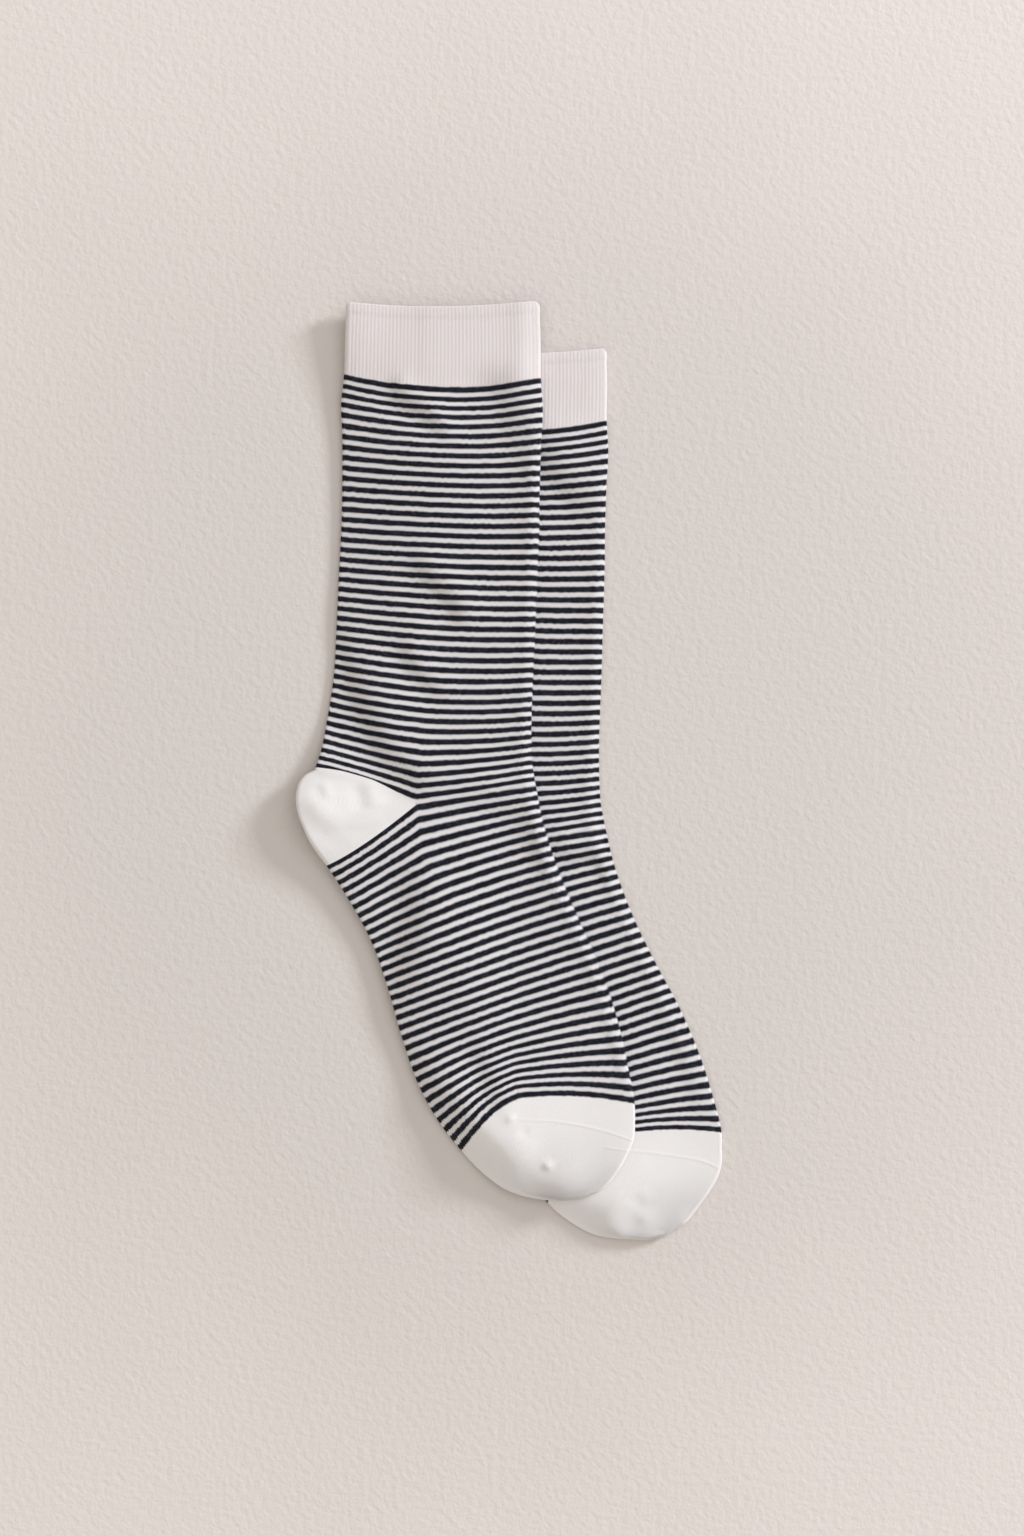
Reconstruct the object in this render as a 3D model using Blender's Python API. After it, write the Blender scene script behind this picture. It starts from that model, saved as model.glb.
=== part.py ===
"""A pair of striped crew socks laid flat, the second one partly across the first.

Every sock is one flattened knitted tube with two folded edges, a ribbed cuff,
a heel pocket let into the back edge and a closed toe. Lengths are in
millimetres until the meshes are made. X runs across the socks, Y up towards
the cuffs and Z away from the surface that they lie on.
"""

import math
from collections import namedtuple

import bmesh
import bpy
import numpy as np

MM = 0.001
NAME = "striped_sock_pair"

# Knitted walls, and the gap left at every seam
CUFF_WALL = 1.7
LEG_WALL = 1.3
CAP_WALL = 1.8
SEAM_GAP = 0.3

# Flattened thickness, thicker along the two folds and in the cuff
THICK = 4.0
FOLD_GAIN = 0.4
FOLD_REACH = 5.0
FOLD_RADIUS = 2.2
LEAST_OPEN = 0.3
CUFF_GAIN = 0.7
CUFF_START_Y = 168.0
CUFF_FULL_Y = 192.0

# How the upper sock comes down from the lower one to the surface
DRAPE_GAP = 0.8
DRAPE_OUTSIDE = 36.0
DRAPE_INSIDE = 4.0

# Ribbed cuff
RIB_DEPTH = 0.4
RIB_COLUMNS = 96
RIB_FOLD_COLUMNS = 3

# The rim is rounded over: its turn in the outside, in the inside and in stripes
RIM_TURN = 0.7
RIM_TURN_INSIDE = 0.3
RIM_TURN_LENGTH = 0.2

# One stripe is one navy band and one white band, about 4.9 mm of knitting
STRIPE_LENGTH = 4.9
HALF_GAP = SEAM_GAP / 2 / STRIPE_LENGTH

# Places along the sock, counted in stripes from the first navy band's middle
RIM = -7.4
CUFF_END = -0.28
LEG_END = 40.6
FOOT_START = 40.8
TOE_START = 71.28
LAST_RING = 81.0
TOE_TIP = 81.5

# Share of a course at which the heel pocket ends in a point, in the leg and in the foot
PIVOT = 0.455
FOOT_PIVOT = 0.425
PIVOT_FADE = 8.0

Course = namedtuple(
    "Course", "stripe back_x back_y front_x front_y sag sag_at back_bend front_bend"
)

# Courses of the cuff and leg: the two folded edges and how far the middle sags
LEG = (
    Course(-7.4, -76.4, 219.7, 13.9, 220.4, 2.4, 0.50, 0.0, 0.0),
    Course(-4.0, -77.1, 203.5, 14.6, 203.5, 3.3, 0.50, 0.0, 0.0),
    Course(0.0, -77.8, 184.9, 14.8, 183.3, 4.7, 0.52, 0.0, 0.0),
    Course(3.0, -79.2, 172.3, 15.7, 169.4, 5.0, 0.52, 0.0, 0.0),
    Course(6.0, -78.7, 157.2, 15.0, 154.5, 3.5, 0.53, 0.0, 0.0),
    Course(10.0, -78.7, 137.7, 14.3, 134.6, 2.2, 0.55, 0.0, 0.0),
    Course(14.0, -79.0, 118.4, 14.0, 115.0, 1.6, 0.52, 0.0, 0.0),
    Course(20.0, -80.4, 90.2, 12.9, 85.5, 1.4, 0.50, 0.0, 0.0),
    Course(25.0, -81.4, 67.4, 12.0, 61.6, 2.2, 0.52, 0.1, 0.1),
    Course(30.0, -82.7, 44.8, 10.8, 38.1, 3.9, 0.51, 0.1, 0.1),
    Course(35.0, -86.0, 22.7, 10.3, 16.0, 5.8, 0.48, 0.3, 0.3),
    Course(38.0, -88.4, 10.1, 10.7, 4.0, 9.2, 0.46, 0.6, 0.6),
    Course(40.6, -91.4, 0.5, 12.2, -6.1, 12.5, PIVOT, 1.0, 0.85),
)

# Courses of the foot and toe: the first edge is now the sole
FOOT = (
    Course(40.8, -85.8, -44.4, 12.5, -7.5, -12.7, FOOT_PIVOT, 1.0, 0.85),
    Course(45.0, -75.7, -60.2, 16.0, -24.8, -6.3, 0.40, 0.6, 0.6),
    Course(50.0, -65.1, -79.4, 23.0, -46.9, -3.0, 0.45, 0.2, 0.2),
    Course(55.0, -57.3, -101.5, 32.7, -70.0, -1.5, 0.48, 0.0, 0.0),
    Course(60.0, -50.5, -125.5, 43.0, -93.5, -1.5, 0.48, 0.0, 0.1),
    Course(65.0, -41.6, -150.2, 51.5, -119.8, -6.0, 0.40, 0.0, 0.5),
    Course(68.0, -33.6, -164.5, 55.2, -136.6, -12.0, 0.35, 0.0, 0.6),
    Course(71.5, -21.9, -179.5, 58.8, -157.0, -18.0, 0.30, 0.0, 0.45),
    Course(73.0, -16.7, -185.2, 58.9, -164.0, -15.0, 0.35, 0.0, 0.3),
    Course(74.5, -10.6, -190.6, 58.5, -171.5, -11.7, 0.40, 0.0, 0.0),
    Course(76.5, -1.6, -196.7, 55.2, -180.0, -7.5, 0.45, 0.0, 0.0),
    Course(78.5, 8.7, -200.2, 50.5, -188.0, -3.5, 0.50, 0.0, 0.0),
    Course(80.0, 18.1, -201.4, 44.4, -194.8, -1.2, 0.50, 0.0, 0.0),
    Course(81.0, 25.1, -201.4, 38.8, -197.9, -0.3, 0.50, 0.0, 0.0),
    Course(81.5, 32.2, -200.2, 32.2, -200.2, 0.0, 0.50, 0.0, 0.0),
)

Pocket = namedtuple("Pocket", "turn x y")

# Outside edge of the heel pocket, from the back of the leg round to the sole
HEEL = (
    Pocket(0.00, -91.4, 0.5),
    Pocket(0.10, -95.9, -1.9),
    Pocket(0.20, -98.7, -5.6),
    Pocket(0.30, -99.9, -10.3),
    Pocket(0.40, -99.9, -15.0),
    Pocket(0.52, -98.7, -20.9),
    Pocket(0.65, -96.6, -26.3),
    Pocket(0.78, -93.8, -32.7),
    Pocket(0.90, -90.0, -38.8),
    Pocket(1.00, -85.8, -44.4),
)

Shift = namedtuple("Shift", "stripe back_x back_y front_x front_y")

# The lower sock is the same sock laid further over, its foot turned out a little
LOWER_SHIFT = (
    Shift(-7.4, 31.7, -21.6, 31.7, -21.6),
    Shift(0.0, 31.5, -20.2, 31.0, -19.3),
    Shift(20.0, 31.5, -20.2, 31.0, -19.9),
    Shift(35.0, 32.0, -19.8, 32.0, -19.7),
    Shift(45.0, 33.5, -20.3, 33.6, -20.3),
    Shift(55.0, 35.7, -21.2, 35.7, -19.4),
    Shift(65.0, 39.2, -22.6, 39.2, -17.2),
    Shift(71.5, 40.7, -23.5, 41.1, -13.9),
    Shift(73.0, 39.8, -23.0, 41.0, -12.7),
    Shift(76.5, 40.9, -21.2, 41.4, -14.1),
    Shift(78.5, 40.9, -19.7, 39.0, -16.5),
    Shift(80.0, 41.4, -19.0, 38.5, -17.9),
    Shift(81.0, 41.6, -18.9, 40.7, -17.0),
    Shift(81.5, 42.3, -18.1, 42.3, -18.1),
)

Swell = namedtuple("Swell", "x y radius height")
Lay = namedtuple("Lay", "name shifts swells lifts")

# The lower sock is pressed flat except for its toe
LOWER = Lay(
    "lower",
    LOWER_SHIFT,
    (Swell(-42.0, -40.0, 24.0, 0.6), Swell(62.0, -193.0, 26.0, 3.1)),
    (),
)

# The upper sock's heel and toe stand fuller, and a corner of its cuff is lifted
UPPER = Lay(
    "upper",
    (Shift(RIM, 0.0, 0.0, 0.0, 0.0), Shift(TOE_TIP, 0.0, 0.0, 0.0, 0.0)),
    (Swell(-75.0, -20.0, 22.0, 3.3), Swell(10.0, -167.0, 28.0, 3.3)),
    (Swell(-80.0, 222.0, 40.0, 5.0), Swell(-98.0, -14.0, 26.0, 7.0)),
)

# Columns round a sock: shares across one side between the two folds
ACROSS = (0.08, 0.155, 0.215, 0.27, 0.325, 0.385, PIVOT, 0.54, 0.63, 0.72, 0.81, 0.905)
FOLD_ANGLES = (0.0, 35.0, 65.0, 90.0)

Finish = namedtuple("Finish", "color roughness")
WHITE_RIB = Finish((0.78, 0.74, 0.72, 1.0), 0.9)
STRIPED = Finish((0.33, 0.32, 0.34, 1.0), 0.9)
WHITE_HEEL = Finish((0.82, 0.79, 0.77, 1.0), 0.9)
WHITE_TOE = Finish((0.80, 0.77, 0.75, 1.0), 0.9)


def eased(share):
    """Smooth step from 0 to 1."""
    share = np.clip(share, 0.0, 1.0)
    return share * share * (3.0 - 2.0 * share)


def spline(rows, where):
    """Values of a table's other columns at one place along its first column."""
    table = np.array(rows, dtype=float)
    at, values = table[:, 0], table[:, 1:]
    slopes = np.gradient(values, at, axis=0)
    i = int(np.clip(np.searchsorted(at, where) - 1, 0, len(at) - 2))
    step = at[i + 1] - at[i]
    s = min(max((where - at[i]) / step, 0.0), 1.0)
    return (
        (1 + 2 * s) * (1 - s) ** 2 * values[i]
        + s * (1 - s) ** 2 * step * slopes[i]
        + s * s * (3 - 2 * s) * values[i + 1]
        - s * s * (1 - s) * step * slopes[i + 1]
    )


def course_at(lay, stripe):
    """Edges of one course and how it sags: depth, then place and the bends beside it."""
    rows = LEG if stripe < (LEG_END + FOOT_START) / 2 else FOOT
    row = spline(rows, stripe)
    shift = spline(lay.shifts, stripe)
    return row[0:2] + shift[0:2], row[2:4] + shift[2:4], row[4], row[5:8]


def inward(along):
    """Unit normal on the left of a direction, which is inside the outline."""
    return np.array([-along[1], along[0]]) / math.hypot(along[0], along[1])


def edges_at(lay, stripe, inset):
    """Back and front edge points of a course, moved in by a depth inside the outline.

    They move along the course, or square to the outline where the toe closes.
    """
    back, front, sag, bow = course_at(lay, stripe)
    start = RIM if stripe < (LEG_END + FOOT_START) / 2 else FOOT_START
    end = LEG_END if start == RIM else TOE_TIP
    before = course_at(lay, max(stripe - 0.05, start))
    after = course_at(lay, min(stripe + 0.05, end))
    back_step = inward(after[0] - before[0])
    front_step = inward(before[1] - after[1])
    if stripe <= TOE_START + HALF_GAP:
        chord = front - back
        back_step = chord / (chord @ back_step)
        front_step = chord / (chord @ front_step)
    return back + back_step * inset, front + front_step * inset, sag, bow


def sag_shape(share, peak, back_bend, front_bend):
    """Share of the sag at one place across a course, a round bow or a bend at its peak."""
    if share < peak:
        rise, bend, hollow = share / peak, back_bend, 1.5
    else:
        rise, bend, hollow = (1.0 - share) / (1.0 - peak), front_bend, 1.1
    bow = 1.0 - (1.0 - rise) ** 2
    return (1.0 - bend) * bow + bend * rise**hollow


def drawn(stripe, across):
    """Place across one side, drawn over below the heel so that its point meets the leg's."""
    fade = 1.0 - (stripe - FOOT_START) / PIVOT_FADE
    if not 0.0 < fade <= 1.0:
        return across
    side = min(across / PIVOT, (1.0 - across) / (1.0 - PIVOT))
    return across - (PIVOT - FOOT_PIVOT) * fade * side


def plan_point(lay, stripe, column, inset):
    """Plan position of one column of one course."""
    back, front, sag, bow = edges_at(lay, stripe, inset)
    length = math.hypot(*(front - back))
    radius = min(FOLD_RADIUS - inset, 0.49 * length)
    across = drawn(stripe, column.across)
    share = (radius * column.turn + across * (length - 2 * radius)) / length
    drop = sag * sag_shape(share, *bow)
    return back + (front - back) * share - np.array([0.0, drop])


def heel_edge(lay, turn, inset):
    """Point of the heel pocket's outside edge, moved in square to the outline."""
    leg_shift = spline(lay.shifts, LEG_END)[0:2]
    foot_shift = spline(lay.shifts, FOOT_START)[0:2]
    before = spline(HEEL, max(turn - 0.02, 0.0))
    after = spline(HEEL, min(turn + 0.02, 1.0))
    edge = spline(HEEL, turn) + leg_shift * (1 - turn) + foot_shift * turn
    return edge + inward(after - before) * inset


def outline(lay):
    """Open outline of a laid sock, from above the back of the rim round the toe and back up."""
    leg = np.arange(RIM, LEG_END, 0.5)
    foot = np.append(np.arange(FOOT_START, 80.0, 0.5), np.arange(80.0, TOE_TIP, 0.1))
    back = [course_at(lay, stripe)[0] for stripe in leg]
    heel = [heel_edge(lay, turn, 0.0) for turn in np.linspace(0.0, 1.0, 41)]
    sole = [course_at(lay, stripe)[0] for stripe in foot[1:]]
    tip = [course_at(lay, TOE_TIP)[0]]
    instep = [course_at(lay, stripe)[1] for stripe in foot[::-1]]
    front = [course_at(lay, stripe)[1] for stripe in leg[::-1]]
    above = np.array([0.0, 60.0])
    edge = back + heel + sole + tip + instep + front
    return np.array([back[0] + above] + edge + [front[-1] + above])


def inside_distance(path, point):
    """Distance from a point to an outline, positive inside it."""
    start, end = path[:-1], path[1:]
    run = end - start
    share = np.sum((point - start) * run, axis=1) / np.sum(run * run, axis=1)
    nearest = start + run * np.clip(share, 0.0, 1.0)[:, None]
    away = point - nearest
    reach = np.hypot(away[:, 0], away[:, 1])
    i = int(np.argmin(reach))
    side = run[i, 0] * away[i, 1] - run[i, 1] * away[i, 0]
    return math.copysign(reach[i], side)


OUTLINES = {LOWER.name: outline(LOWER), UPPER.name: outline(UPPER)}


def swell_sum(swells, point):
    """Sum of soft round swells at a plan point."""
    total = 0.0
    for swell in swells:
        reach = math.hypot(point[0] - swell.x, point[1] - swell.y) / swell.radius
        total += swell.height * math.exp(-reach * reach)
    return total


def thickness(lay, point):
    """Flattened thickness of a sock at a plan point."""
    depth = max(inside_distance(OUTLINES[lay.name], point), 0.0)
    cuff = eased((point[1] - CUFF_START_Y) / (CUFF_FULL_Y - CUFF_START_Y))
    fold = math.exp(-((depth / FOLD_REACH) ** 2))
    return THICK + FOLD_GAIN * fold + CUFF_GAIN * cuff + swell_sum(lay.swells, point)


def ground(lay, point):
    """Height of what a sock lies on."""
    if lay is LOWER:
        return 0.0
    over = inside_distance(OUTLINES[LOWER.name], point)
    share = eased((over + DRAPE_OUTSIDE) / (DRAPE_OUTSIDE + DRAPE_INSIDE))
    return share * (thickness(LOWER, point) + DRAPE_GAP) + (1.0 - share) * swell_sum(lay.lifts, point)


def raised(lay, point, column, inset):
    """A plan point as a point in space, on the top or underside of the wall."""
    middle = thickness(lay, point) / 2
    radius = middle - inset
    turn = min(column.turn, 2.0 - column.turn)
    least = LEAST_OPEN * turn * (FOLD_RADIUS - inset)
    depth = max(inside_distance(OUTLINES[lay.name], point) - inset, least)
    reach = min(depth / radius, 1.0)
    half = 0.0 if column.side == 0 else radius * math.sqrt(1.0 - (1.0 - reach) ** 2)
    return (point[0], point[1], ground(lay, point) + middle + column.side * half)


Column = namedtuple("Column", "turn across side")


def half_round(across, angles, side):
    """Columns from fold to fold on one side, without the two folds' own points."""
    turns = [1.0 - math.cos(math.radians(angle)) for angle in angles]
    back = [Column(turn, 0.0, side) for turn in turns]
    middle = [Column(1.0, share, side) for share in across]
    front = [Column(2.0 - turn, 1.0, side) for turn in reversed(turns)]
    return back + middle + front


def loop_columns(across, angles):
    """Columns all round a sock, from the back fold over the top and back below."""
    top = half_round(across, angles, 1)
    under = half_round(across, angles, -1)
    return [Column(0.0, 0.0, 0)] + top + [Column(2.0, 1.0, 0)] + under[::-1]


COLUMNS = loop_columns(ACROSS, FOLD_ANGLES[1:])
TOP_PIVOT = 1 + len(FOLD_ANGLES) - 1 + ACROSS.index(PIVOT)
UNDER_PIVOT = len(COLUMNS) - TOP_PIVOT


def ring(lay, stripe, inset, columns=None):
    """One closed ring of points on a course."""
    columns = COLUMNS if columns is None else columns
    return [raised(lay, plan_point(lay, stripe, c, inset), c, inset) for c in columns]


class Solid:
    """Points and faces of one closed knitted wall."""

    def __init__(self):
        self.points = []
        self.faces = []

    def add(self, points):
        """Store points and return their indices."""
        first = len(self.points)
        self.points.extend(points)
        return list(range(first, len(self.points)))

    def strip(self, one, other, closed=True):
        """Quads between two rows of the same length."""
        count = len(one) if closed else len(one) - 1
        for i in range(count):
            j = (i + 1) % len(one)
            self.faces.append((one[i], one[j], other[j], other[i]))

    def zipped(self, one, other):
        """Triangles between two closed loops of different lengths that start together."""
        i, j = 0, 0
        while i < len(one) or j < len(other):
            if j == len(other) or (i < len(one) and (i + 1) * len(other) <= (j + 1) * len(one)):
                self.faces.append((one[i], one[(i + 1) % len(one)], other[j % len(other)]))
                i += 1
            else:
                self.faces.append((one[i % len(one)], other[(j + 1) % len(other)], other[j]))
                j += 1

    def fan(self, loop, tip):
        """Triangles from a loop to one point."""
        for i, here in enumerate(loop):
            self.faces.append((here, loop[(i + 1) % len(loop)], tip))


def tube(lay):
    """The striped leg and foot, open at both ends and at the heel."""
    leg = [CUFF_END + HALF_GAP, 3.0, 6.0, 10.0, 14.0, 20.0, 25.0, 30.0, 33.0, 35.0, 38.0, LEG_END]
    foot = [FOOT_START, 43.0, 45.0, 48.0, 51.0, 55.0, 60.0, 65.0, 68.0, 70.0, TOE_START - HALF_GAP]
    stripes = leg + foot
    solid = Solid()
    outer = [solid.add(ring(lay, stripe, 0.0)) for stripe in stripes]
    inner = [solid.add(ring(lay, stripe, LEG_WALL)) for stripe in stripes]
    heel = len(leg) - 1
    hole = heel_order()
    for wall in (outer, inner):
        for i in range(len(stripes) - 1):
            if i != heel:
                solid.strip(wall[i], wall[i + 1])
        kept = slice(TOP_PIVOT, UNDER_PIVOT + 1)
        solid.strip(wall[heel][kept], wall[heel + 1][kept], closed=False)
    solid.strip(outer[0], inner[0])
    solid.strip(outer[-1], inner[-1])
    for row in (heel, heel + 1):
        solid.strip([outer[row][c] for c in hole], [inner[row][c] for c in hole], closed=False)
    for c in (TOP_PIVOT, UNDER_PIVOT):
        solid.faces.append((outer[heel][c], outer[heel + 1][c], inner[heel + 1][c], inner[heel][c]))
    return solid


def heel_order():
    """Column numbers from the top pivot round the back fold to the one below."""
    return list(range(TOP_PIVOT, -1, -1)) + list(range(len(COLUMNS) - 1, UNDER_PIVOT - 1, -1))


def heel_point(lay, turn, column, inset):
    """A point of the heel pocket, which fans out from the pivot to its round edge."""
    leg = plan_point(lay, LEG_END, column, inset)
    foot = plan_point(lay, FOOT_START, column, inset)
    pivot = Column(1.0, PIVOT, 1)
    leg_pivot = plan_point(lay, LEG_END, pivot, inset)
    foot_pivot = plan_point(lay, FOOT_START, pivot, inset)
    leg_edge = edges_at(lay, LEG_END, inset)[0]
    foot_edge = edges_at(lay, FOOT_START, inset)[0]
    reach = math.hypot(*(leg - leg_pivot)) / math.hypot(*(leg_edge - leg_pivot))
    centre = leg_pivot * (1 - turn) + foot_pivot * turn
    leg_miss = leg_edge - heel_edge(lay, 0.0, inset)
    foot_miss = foot_edge - heel_edge(lay, 1.0, inset)
    edge = heel_edge(lay, turn, inset) + leg_miss * (1 - turn) ** 3 + foot_miss * turn**3
    fan = centre + (edge - centre) * reach
    leg_off = leg - leg_pivot - (leg_edge - leg_pivot) * reach
    foot_off = foot - foot_pivot - (foot_edge - foot_pivot) * reach
    return fan + leg_off * (1 - turn) + foot_off * turn


def heel_row(lay, turn, inset):
    """One row of the heel pocket, kept clear of the leg and foot by the seam gap."""
    points = []
    for number in heel_order():
        column = COLUMNS[number]
        if number in (TOP_PIVOT, UNDER_PIVOT):
            column = Column(1.0, PIVOT - SEAM_GAP / 100.0, column.side)
        across = heel_point(lay, 1.0, column, inset) - heel_point(lay, 0.0, column, inset)
        margin = SEAM_GAP / math.hypot(*across)
        point = heel_point(lay, margin + (1 - 2 * margin) * turn, column, inset)
        points.append(raised(lay, point, column, inset))
    return points


def heel(lay):
    """The heel pocket, a wall that wraps the back fold."""
    solid = Solid()
    turns = [row.turn for row in HEEL]
    outer = [solid.add(heel_row(lay, turn, 0.0)) for turn in turns]
    inner = [solid.add(heel_row(lay, turn, CAP_WALL)) for turn in turns]
    for wall in (outer, inner):
        for i in range(len(turns) - 1):
            solid.strip(wall[i], wall[i + 1], closed=False)
    for row in (0, -1):
        solid.strip(outer[row], inner[row], closed=False)
    for end in (0, -1):
        solid.strip([row[end] for row in outer], [row[end] for row in inner], closed=False)
    return solid


def toe(lay):
    """The closed toe, which starts where the stripes end."""
    solid = Solid()
    stripes = [TOE_START + HALF_GAP, 73.0, 74.5, 76.5, 78.5, 80.0, LAST_RING]
    walls = []
    for inset in (0.0, CAP_WALL):
        rows = [solid.add(ring(lay, stripe, inset)) for stripe in stripes]
        for i in range(len(rows) - 1):
            solid.strip(rows[i], rows[i + 1])
        solid.fan(rows[-1], solid.add([tip_point(lay, inset)])[0])
        walls.append(rows)
    solid.strip(walls[0][0], walls[1][0])
    return solid


def tip_point(lay, inset):
    """The toe's end point."""
    tip = course_at(lay, TOE_TIP)[0]
    back, front = course_at(lay, LAST_RING)[0:2]
    point = tip + inward(front - back) * inset
    return raised(lay, point, Column(0.0, 0.0, 0), inset)


def cuff(lay):
    """The ribbed cuff: ribs outside, plain inside, its rim rounded over."""
    solid = Solid()
    across = [i / RIB_COLUMNS for i in range(1, RIB_COLUMNS)]
    angles = [90.0 * i / RIB_FOLD_COLUMNS for i in range(1, RIB_FOLD_COLUMNS + 1)]
    columns = loop_columns(across, angles)
    outer = [solid.add(ribbed_ring(lay, RIM, columns, RIM_TURN, 0.0))]
    for stripe in (RIM + RIM_TURN_LENGTH, -5.0, -2.5, CUFF_END - HALF_GAP):
        outer.append(solid.add(ribbed_ring(lay, stripe, columns, 0.0, RIB_DEPTH)))
    inner = [solid.add(ring(lay, RIM, CUFF_WALL - RIM_TURN_INSIDE))]
    for stripe in (RIM + RIM_TURN_LENGTH, -4.0, CUFF_END - HALF_GAP):
        inner.append(solid.add(ring(lay, stripe, CUFF_WALL)))
    for wall in (outer, inner):
        for i in range(len(wall) - 1):
            solid.strip(wall[i], wall[i + 1])
    solid.zipped(outer[0], inner[0])
    solid.zipped(outer[-1], inner[-1])
    return solid


def ribbed_ring(lay, stripe, columns, inset, depth):
    """A ring whose every second column lies lower, between two ribs."""
    points = []
    for i, column in enumerate(columns):
        here = inset + depth * (i % 2)
        points.append(raised(lay, plan_point(lay, stripe, column, here), column, here))
    return points


def make_material(name, finish):
    """A plain knitted-cotton material."""
    material = bpy.data.materials.new(name)
    material.use_nodes = True
    shader = material.node_tree.nodes["Principled BSDF"]
    shader.inputs["Base Color"].default_value = finish.color
    shader.inputs["Roughness"].default_value = finish.roughness
    return material


def make_object(name, solid, centre, finish, collection):
    """Turn one wall into a closed mesh object in metres."""
    mesh = bpy.data.meshes.new(name)
    points = (np.array(solid.points) - centre) * MM
    mesh.from_pydata(points.tolist(), [], solid.faces)
    work = bmesh.new()
    work.from_mesh(mesh)
    bmesh.ops.triangulate(work, faces=work.faces[:])
    bmesh.ops.recalc_face_normals(work, faces=work.faces[:])
    work.to_mesh(mesh)
    work.free()
    mesh.materials.append(make_material(name, finish))
    collection.objects.link(bpy.data.objects.new(name, mesh))


def main():
    """Build both socks, centred on the middle of what they cover."""
    for item in list(bpy.data.objects):
        bpy.data.objects.remove(item, do_unlink=True)
    collection = bpy.data.collections.new(NAME)
    bpy.context.scene.collection.children.link(collection)
    pieces = {}
    for lay in (LOWER, UPPER):
        pieces[lay.name + "_cuff"] = (cuff(lay), WHITE_RIB)
        pieces[lay.name + "_leg_and_foot"] = (tube(lay), STRIPED)
        pieces[lay.name + "_heel"] = (heel(lay), WHITE_HEEL)
        pieces[lay.name + "_toe"] = (toe(lay), WHITE_TOE)
    every = np.concatenate([np.array(solid.points) for solid, finish in pieces.values()])
    low, high = every.min(axis=0), every.max(axis=0)
    centre = np.array([(low[0] + high[0]) / 2, (low[1] + high[1]) / 2, low[2]])
    for name, (solid, finish) in pieces.items():
        make_object(name, solid, centre, finish, collection)


main()
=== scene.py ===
"""A pair of striped crew socks laid flat: knitted shells, yarns, floor, light and camera.

Lengths are in millimetres until the meshes are made. X runs across the socks, Y up
towards the cuffs and Z away from the surface that they lie on. Places along a sock are
counted in stripes, one navy and one white band each, from the middle of the first navy band.
"""

import logging
import math
from dataclasses import dataclass
from enum import Enum
from typing import Any, Iterable, NamedTuple, Sequence

import bmesh
import bpy
import numpy as np
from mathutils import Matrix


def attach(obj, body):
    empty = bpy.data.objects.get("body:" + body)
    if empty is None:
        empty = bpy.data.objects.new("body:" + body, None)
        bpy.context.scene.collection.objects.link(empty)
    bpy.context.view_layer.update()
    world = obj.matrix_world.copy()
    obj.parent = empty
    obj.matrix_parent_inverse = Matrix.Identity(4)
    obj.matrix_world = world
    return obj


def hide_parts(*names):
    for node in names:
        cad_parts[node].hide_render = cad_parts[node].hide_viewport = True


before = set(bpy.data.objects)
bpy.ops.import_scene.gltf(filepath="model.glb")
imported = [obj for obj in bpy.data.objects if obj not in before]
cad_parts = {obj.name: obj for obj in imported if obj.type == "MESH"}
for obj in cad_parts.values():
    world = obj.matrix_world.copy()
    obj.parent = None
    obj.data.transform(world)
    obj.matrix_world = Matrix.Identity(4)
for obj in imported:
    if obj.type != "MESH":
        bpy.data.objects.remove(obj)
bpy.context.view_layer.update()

LOG = logging.getLogger("socks")
Array = np.ndarray
Range = tuple[float, float]
Colour = tuple[float, float, float, float]
MM = 0.001
TINY = 1e-9

# Knitting: wales round the tube, and courses in one stripe of navy and white
WALES = 212
COURSES = 6

# Places along the sock, in stripes
RIM = -7.4
CUFF_END = -0.28
LEG_END = 40.6
FOOT_START = 40.8
TOE_START = 71.28
TOE_TIP = 81.5

# Share of a course at which the heel pocket ends in a point, in the leg and in the foot, and
# the stripes below it over which the foot's columns come back to the leg's
PIVOT = 0.455
FOOT_PIVOT = 0.425
PIVOT_FADE = 8.0

# How hollow a course runs to the corner of its bend, behind and before it
BACK_HOLLOW = 1.5
FRONT_HOLLOW = 1.1

# Share of a fold's line over which it runs out at either end
RUN_OUT = 0.3

# Flattened thickness, a little less along the two folds and more in the cuff
THICK = 3.7
FOLD_GAIN = -0.5
FOLD_REACH = 5.0
FOLD_RADIUS = 2.2
FOLD_LIMIT = 0.49
TUBE_WIDTH = 93.0
LEAST_OPEN = 0.3
LEAST_THICK = 2.3
CUFF_GAIN = 0.5
CUFF_START_Y = 168.0
CUFF_FULL_Y = 192.0

# How the upper sock comes down from the lower one to the surface
DRAPE_GAP = 0.8
DRAPE_OUTSIDE = 36.0
DRAPE_INSIDE = 4.0

# The outline that depths are measured from: its spacing in stripes, closer from where the toe
# bends in, its points round the heel, and how far it runs on past the open rim
OUTLINE_STEP = 0.5
TIP_STEP = 0.1
TOE_BEND = 80.0
HEEL_POINTS = 41
PAST_RIM = 60.0

# Points that are measured against a line at a time
BATCH = 4000

# Size and corner of the places that a wall's outside and inside take on its flat map
OUTSIDE_MAP = ((0.78, 0.98), (0.01, 0.01))
INSIDE_MAP = ((0.18, 0.98), (0.81, 0.01))


class Course(NamedTuple):
    """One course: its two folded edges, and how far its middle sags.

    sag_at is the share of the way across where it sags most. The bends turn the sag from a
    round bow, at 0, to a corner, at 1.
    """

    stripe: float
    back_x: float
    back_y: float
    front_x: float
    front_y: float
    sag: float
    sag_at: float
    back_bend: float
    front_bend: float


class Pocket(NamedTuple):
    """A point of the heel pocket's outside edge."""

    turn: float
    x: float
    y: float


class Shift(NamedTuple):
    """How far the edges of a course are moved over, and how much further its middle sags."""

    stripe: float
    back_x: float
    back_y: float
    front_x: float
    front_y: float
    sag: float = 0.0


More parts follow.
